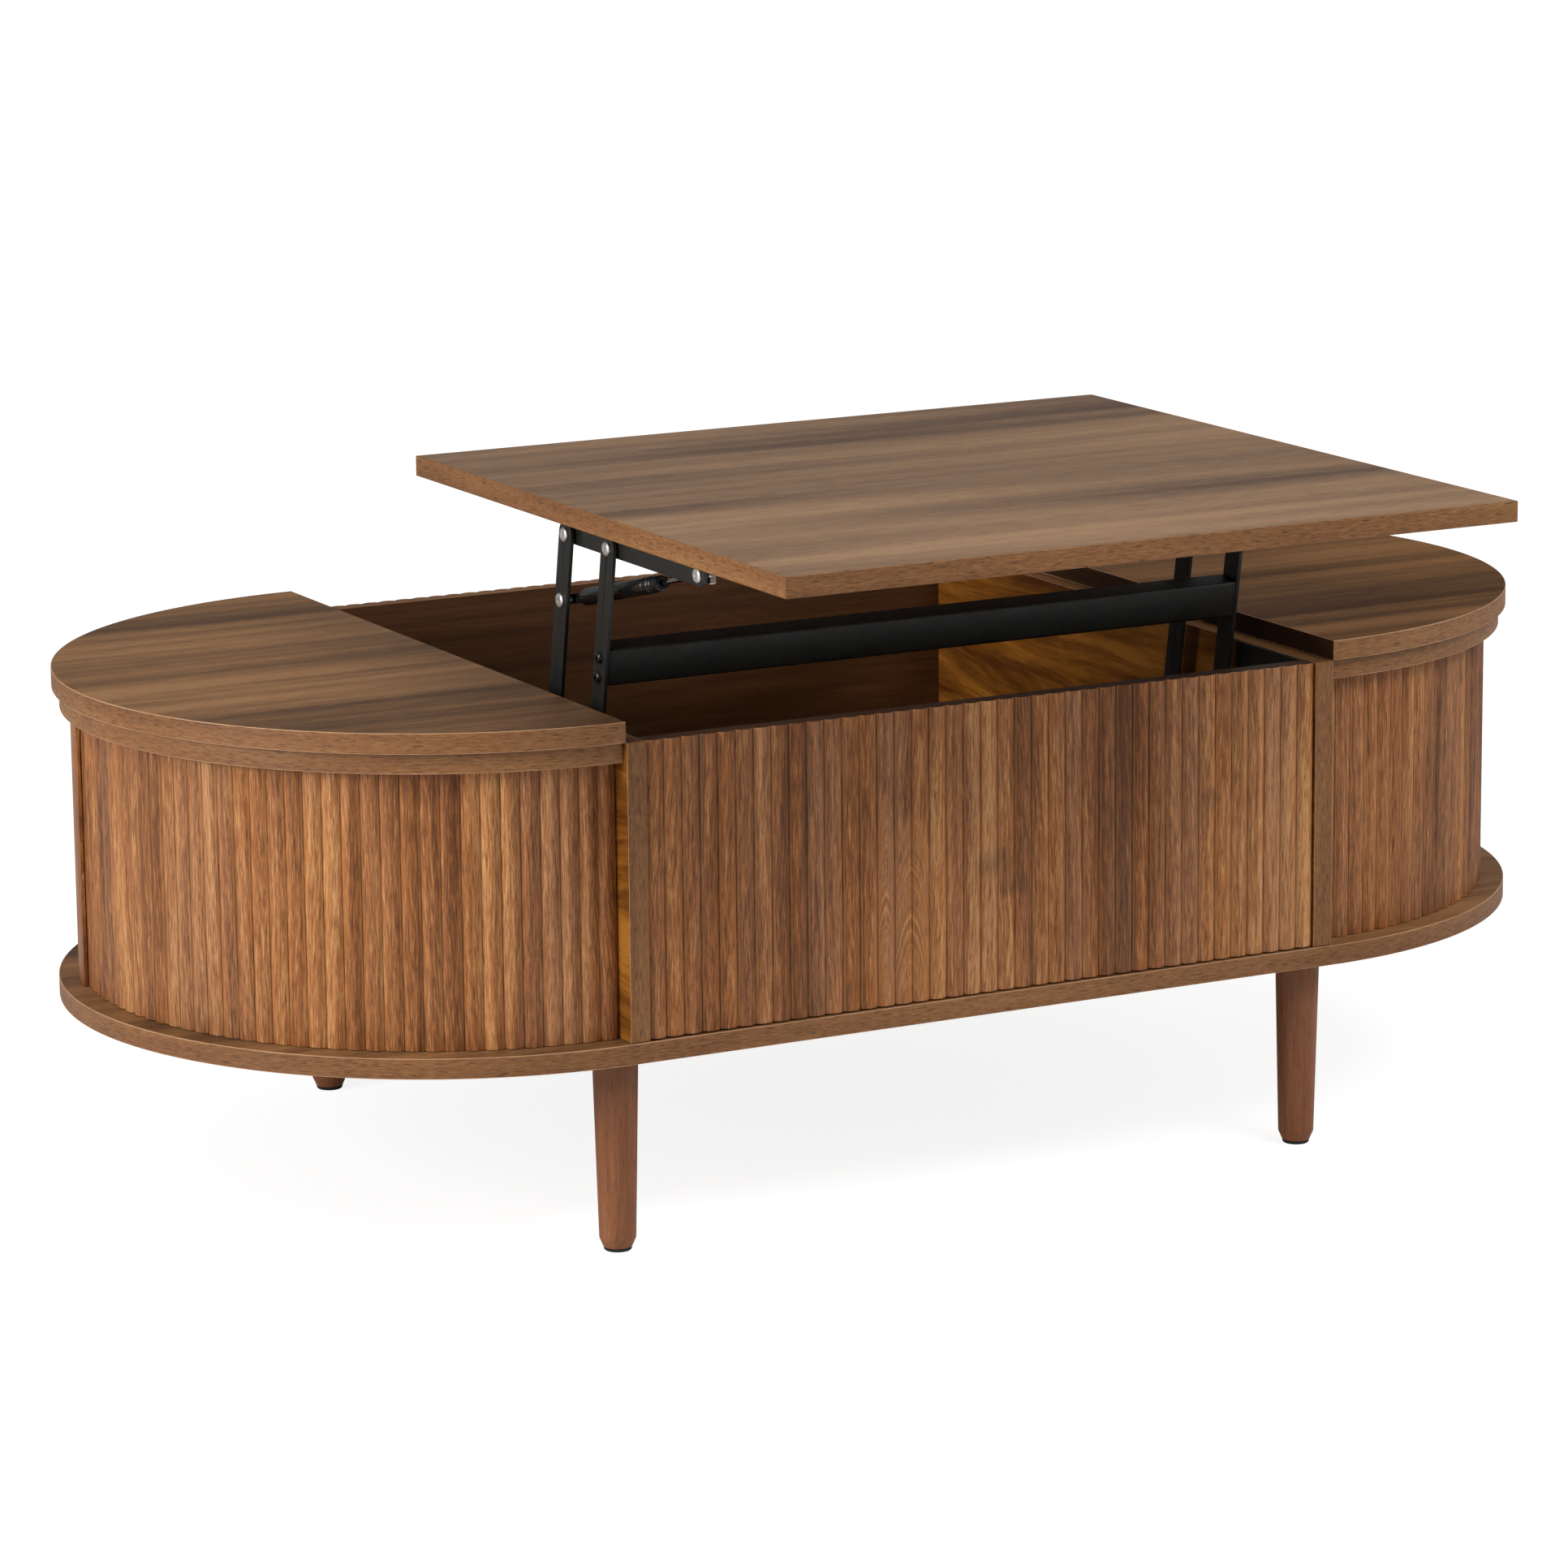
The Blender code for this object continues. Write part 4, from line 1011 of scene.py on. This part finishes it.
def make_gas_rod(name, side, turn, length):
    """A gas spring's rod, with a collar inside the tube and a stub across its tip for the rivet."""
    tip = [(0, 0.0034), (0.0024, 0.0034), (0.0032, 0.0027), (0.0034, 0.0018), (0.0034, -0.0034),
           (0.0030, -0.0046), (0.0022, -0.0066), (0.0018, -0.0076)]
    collar = [(0.0018, 0.0920), (0.0047, 0.0910), (0.0047, 0.0850), (0, 0.0850)]
    rod = lathe(raised(tip, length) + collar, 32)
    stub = lathe([(0, 0.0073), (0.0030, 0.0073), (0.0035, 0.0068), (0.0035, 0.0), (0, 0.0)], 24)
    moved(stub, outboard(side, 0.0, 0.0, length))
    rod = solid("gas_piston_rod_" + name, joined([rod, stub]))
    rod.data.transform(turn)
    fit(paint(rod, [CHROME]), "gas_rod_" + name, "zinc_steel", "gas_rod_" + name)


def make_gas_spring(name, side):
    pin = Vector((0.0, *on_arm(REAR_PIVOT, GAS_PIN_ALONG)))
    reach = Vector((0.0, *GAS_RIVET)) - pin
    turn = reach.to_track_quat("Z", "X").to_matrix().to_4x4()
    turn = Matrix.Translation((side * GAS_MIDDLE, pin.y, pin.z)) @ turn
    make_gas_tube(name, turn)
    make_gas_rod(name, side, turn, reach.length)


def make_mechanism():
    make_crossbar()
    make_brackets()
    ends = [(0.0, PIN_HOLE), (ARM_LENGTH, PIN_HOLE)]
    screws = {"lower": CROSSBAR_ALONG - SCREW_STEP, "upper": CROSSBAR_ALONG + SCREW_STEP}
    front_holes = ends + [(along, SCREW_HOLE) for along in screws.values()]
    gas_pin = on_arm(REAR_PIVOT, GAS_PIN_ALONG)
    for name, side in SIDES.items():
        rear = "rear_arm_" + name
        make_arm("front_link_" + name, "front_arms", "front_arm_" + name, side, FRONT_PIVOT, front_holes)
        make_arm("rear_link_" + name, rear, rear, side, REAR_PIVOT, ends + [(GAS_PIN_ALONG, PIN_HOLE)])
        for label, pivot in (("front", FRONT_PIVOT), ("rear", REAR_PIVOT)):
            end = f"{label}_{name}"
            top = on_arm(pivot, ARM_LENGTH)
            make_rivet("lower_rivet_" + end, "table", "lower_pin_" + end, side, pivot, *LOWER_RIVET)
            make_rivet("top_rivet_" + end, "lift_top", "top_pin_" + end, side, top, *TOP_RIVET)
        make_rivet("gas_end_rivet_" + name, "lift_top", "gas_rivet_" + name, side, GAS_RIVET, *GAS_END_RIVET,
                   upset=False)
        make_rivet("gas_arm_rivet_" + name, rear, "gas_pin_" + name, side, gas_pin, *GAS_ARM_RIVET)
        for label, along in screws.items():
            make_socket_screw(f"socket_screw_{label}_{name}", f"crossbar_screw_{label}_{name}", side,
                              on_arm(FRONT_PIVOT, along))
        make_gas_spring(name, side)


# Camera, light and floor

def make_camera():
    data = bpy.data.cameras.new("camera")
    data.lens = CAMERA_LENS
    data.sensor_width = CAMERA_SENSOR
    data.clip_end = 200.0
    yaw, pitch, roll = CAMERA_YAW, CAMERA_PITCH, CAMERA_ROLL
    ahead = Vector((-math.sin(yaw) * math.cos(pitch), math.cos(yaw) * math.cos(pitch), -math.sin(pitch)))
    level = Vector((math.cos(yaw), math.sin(yaw), 0.0))
    upright = level.cross(ahead)
    right = level * math.cos(roll) + upright * math.sin(roll)
    above = upright * math.cos(roll) - level * math.sin(roll)
    camera = bpy.data.objects.new("camera", data)
    axes = Matrix((right, above, -ahead)).transposed().to_4x4()
    camera.matrix_world = Matrix.Translation(CAMERA_PLACE) @ axes
    bpy.context.scene.collection.objects.link(camera)
    bpy.context.scene.camera = camera


def area_light(name, place, size, power):
    data = bpy.data.lights.new(name, "AREA")
    data.shape = "RECTANGLE"
    data.size, data.size_y = size
    data.energy = power
    light = bpy.data.objects.new(name, data)
    light.location = place
    light.rotation_euler = (Vector(LAMP_TARGET) - Vector(place)).to_track_quat("-Z", "Y").to_euler()
    bpy.context.scene.collection.objects.link(light)


def make_floor(name, height, nodes):
    mesh = bpy.data.meshes.new(name)
    shape = bmesh.new()
    bmesh.ops.create_grid(shape, x_segments=1, y_segments=1, size=FLOOR_SIZE)
    bmesh.ops.translate(shape, vec=(0, 0, height), verts=shape.verts)
    shape.to_mesh(mesh)
    shape.free()
    nodes.shader.inputs["Roughness"].default_value = 0.9
    nodes.shader.inputs["Specular IOR Level"].default_value = 0.0
    mesh.materials.append(nodes.material)
    floor = bpy.data.objects.new(name, mesh)
    bpy.context.scene.collection.objects.link(floor)
    floor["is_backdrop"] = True
    return floor


def make_stage():
    """A pale floor that glows for the camera only, over one that sends light back up to the table."""
    made = Nodes("pale_floor")
    place = made.add("ShaderNodeTexCoord").outputs["Object"]
    cloudy = made.noise(place, 0.8, detail=2.0)
    made.put(made.shader, "Base Color", made.mix(cloudy, *[(grey, grey, grey, 1.0) for grey in (0.34, 0.36)]))
    made.shader.inputs["Emission Color"].default_value = (1.0, 1.0, 1.0, 1.0)
    measure = made.add("ShaderNodeVectorMath", operation="LENGTH")
    made.put(measure, 0, place)
    made.put(made.shader, "Emission Strength", made.remap(measure.outputs["Value"], *FLOOR_GLOW))
    seen = make_floor("floor", 0.0, made)
    seen.visible_diffuse = seen.visible_glossy = seen.visible_transmission = seen.visible_shadow = False
    made = Nodes("floor_bounce")
    place = made.add("ShaderNodeTexCoord").outputs["Object"]
    cloudy = made.noise(place, 0.8, detail=2.0)
    made.put(made.shader, "Base Color", made.mix(cloudy, *[(grey, grey, grey, 1.0) for grey in (0.79, 0.82)]))
    make_floor("floor_below", -0.001, made).visible_camera = False
    world = bpy.data.worlds.new("studio")
    world.use_nodes = True
    back = world.node_tree.nodes["Background"]
    back.inputs["Color"].default_value = (1.0, 1.0, 1.0, 1.0)
    back.inputs["Strength"].default_value = SKY_STRENGTH
    bpy.context.scene.world = world
    for lamp in LAMPS:
        area_light(*lamp)
    bpy.context.scene.view_settings.view_transform = "Standard"


make_boards()
for name, end in ENDS.items():
    make_reeded_panel(name, end)
for name, side in SIDES.items():
    make_end_wall(name, side)
    make_door(name, side)
for end_name in ENDS:
    for side_name in SIDES:
        make_leg(f"{end_name}_{side_name}")
make_mechanism()
make_camera()
make_stage()


def corners(box):
    return [list(map(float, corner)) for corner in box]


{"cad": corners(cad_box), "visual": corners(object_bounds())}
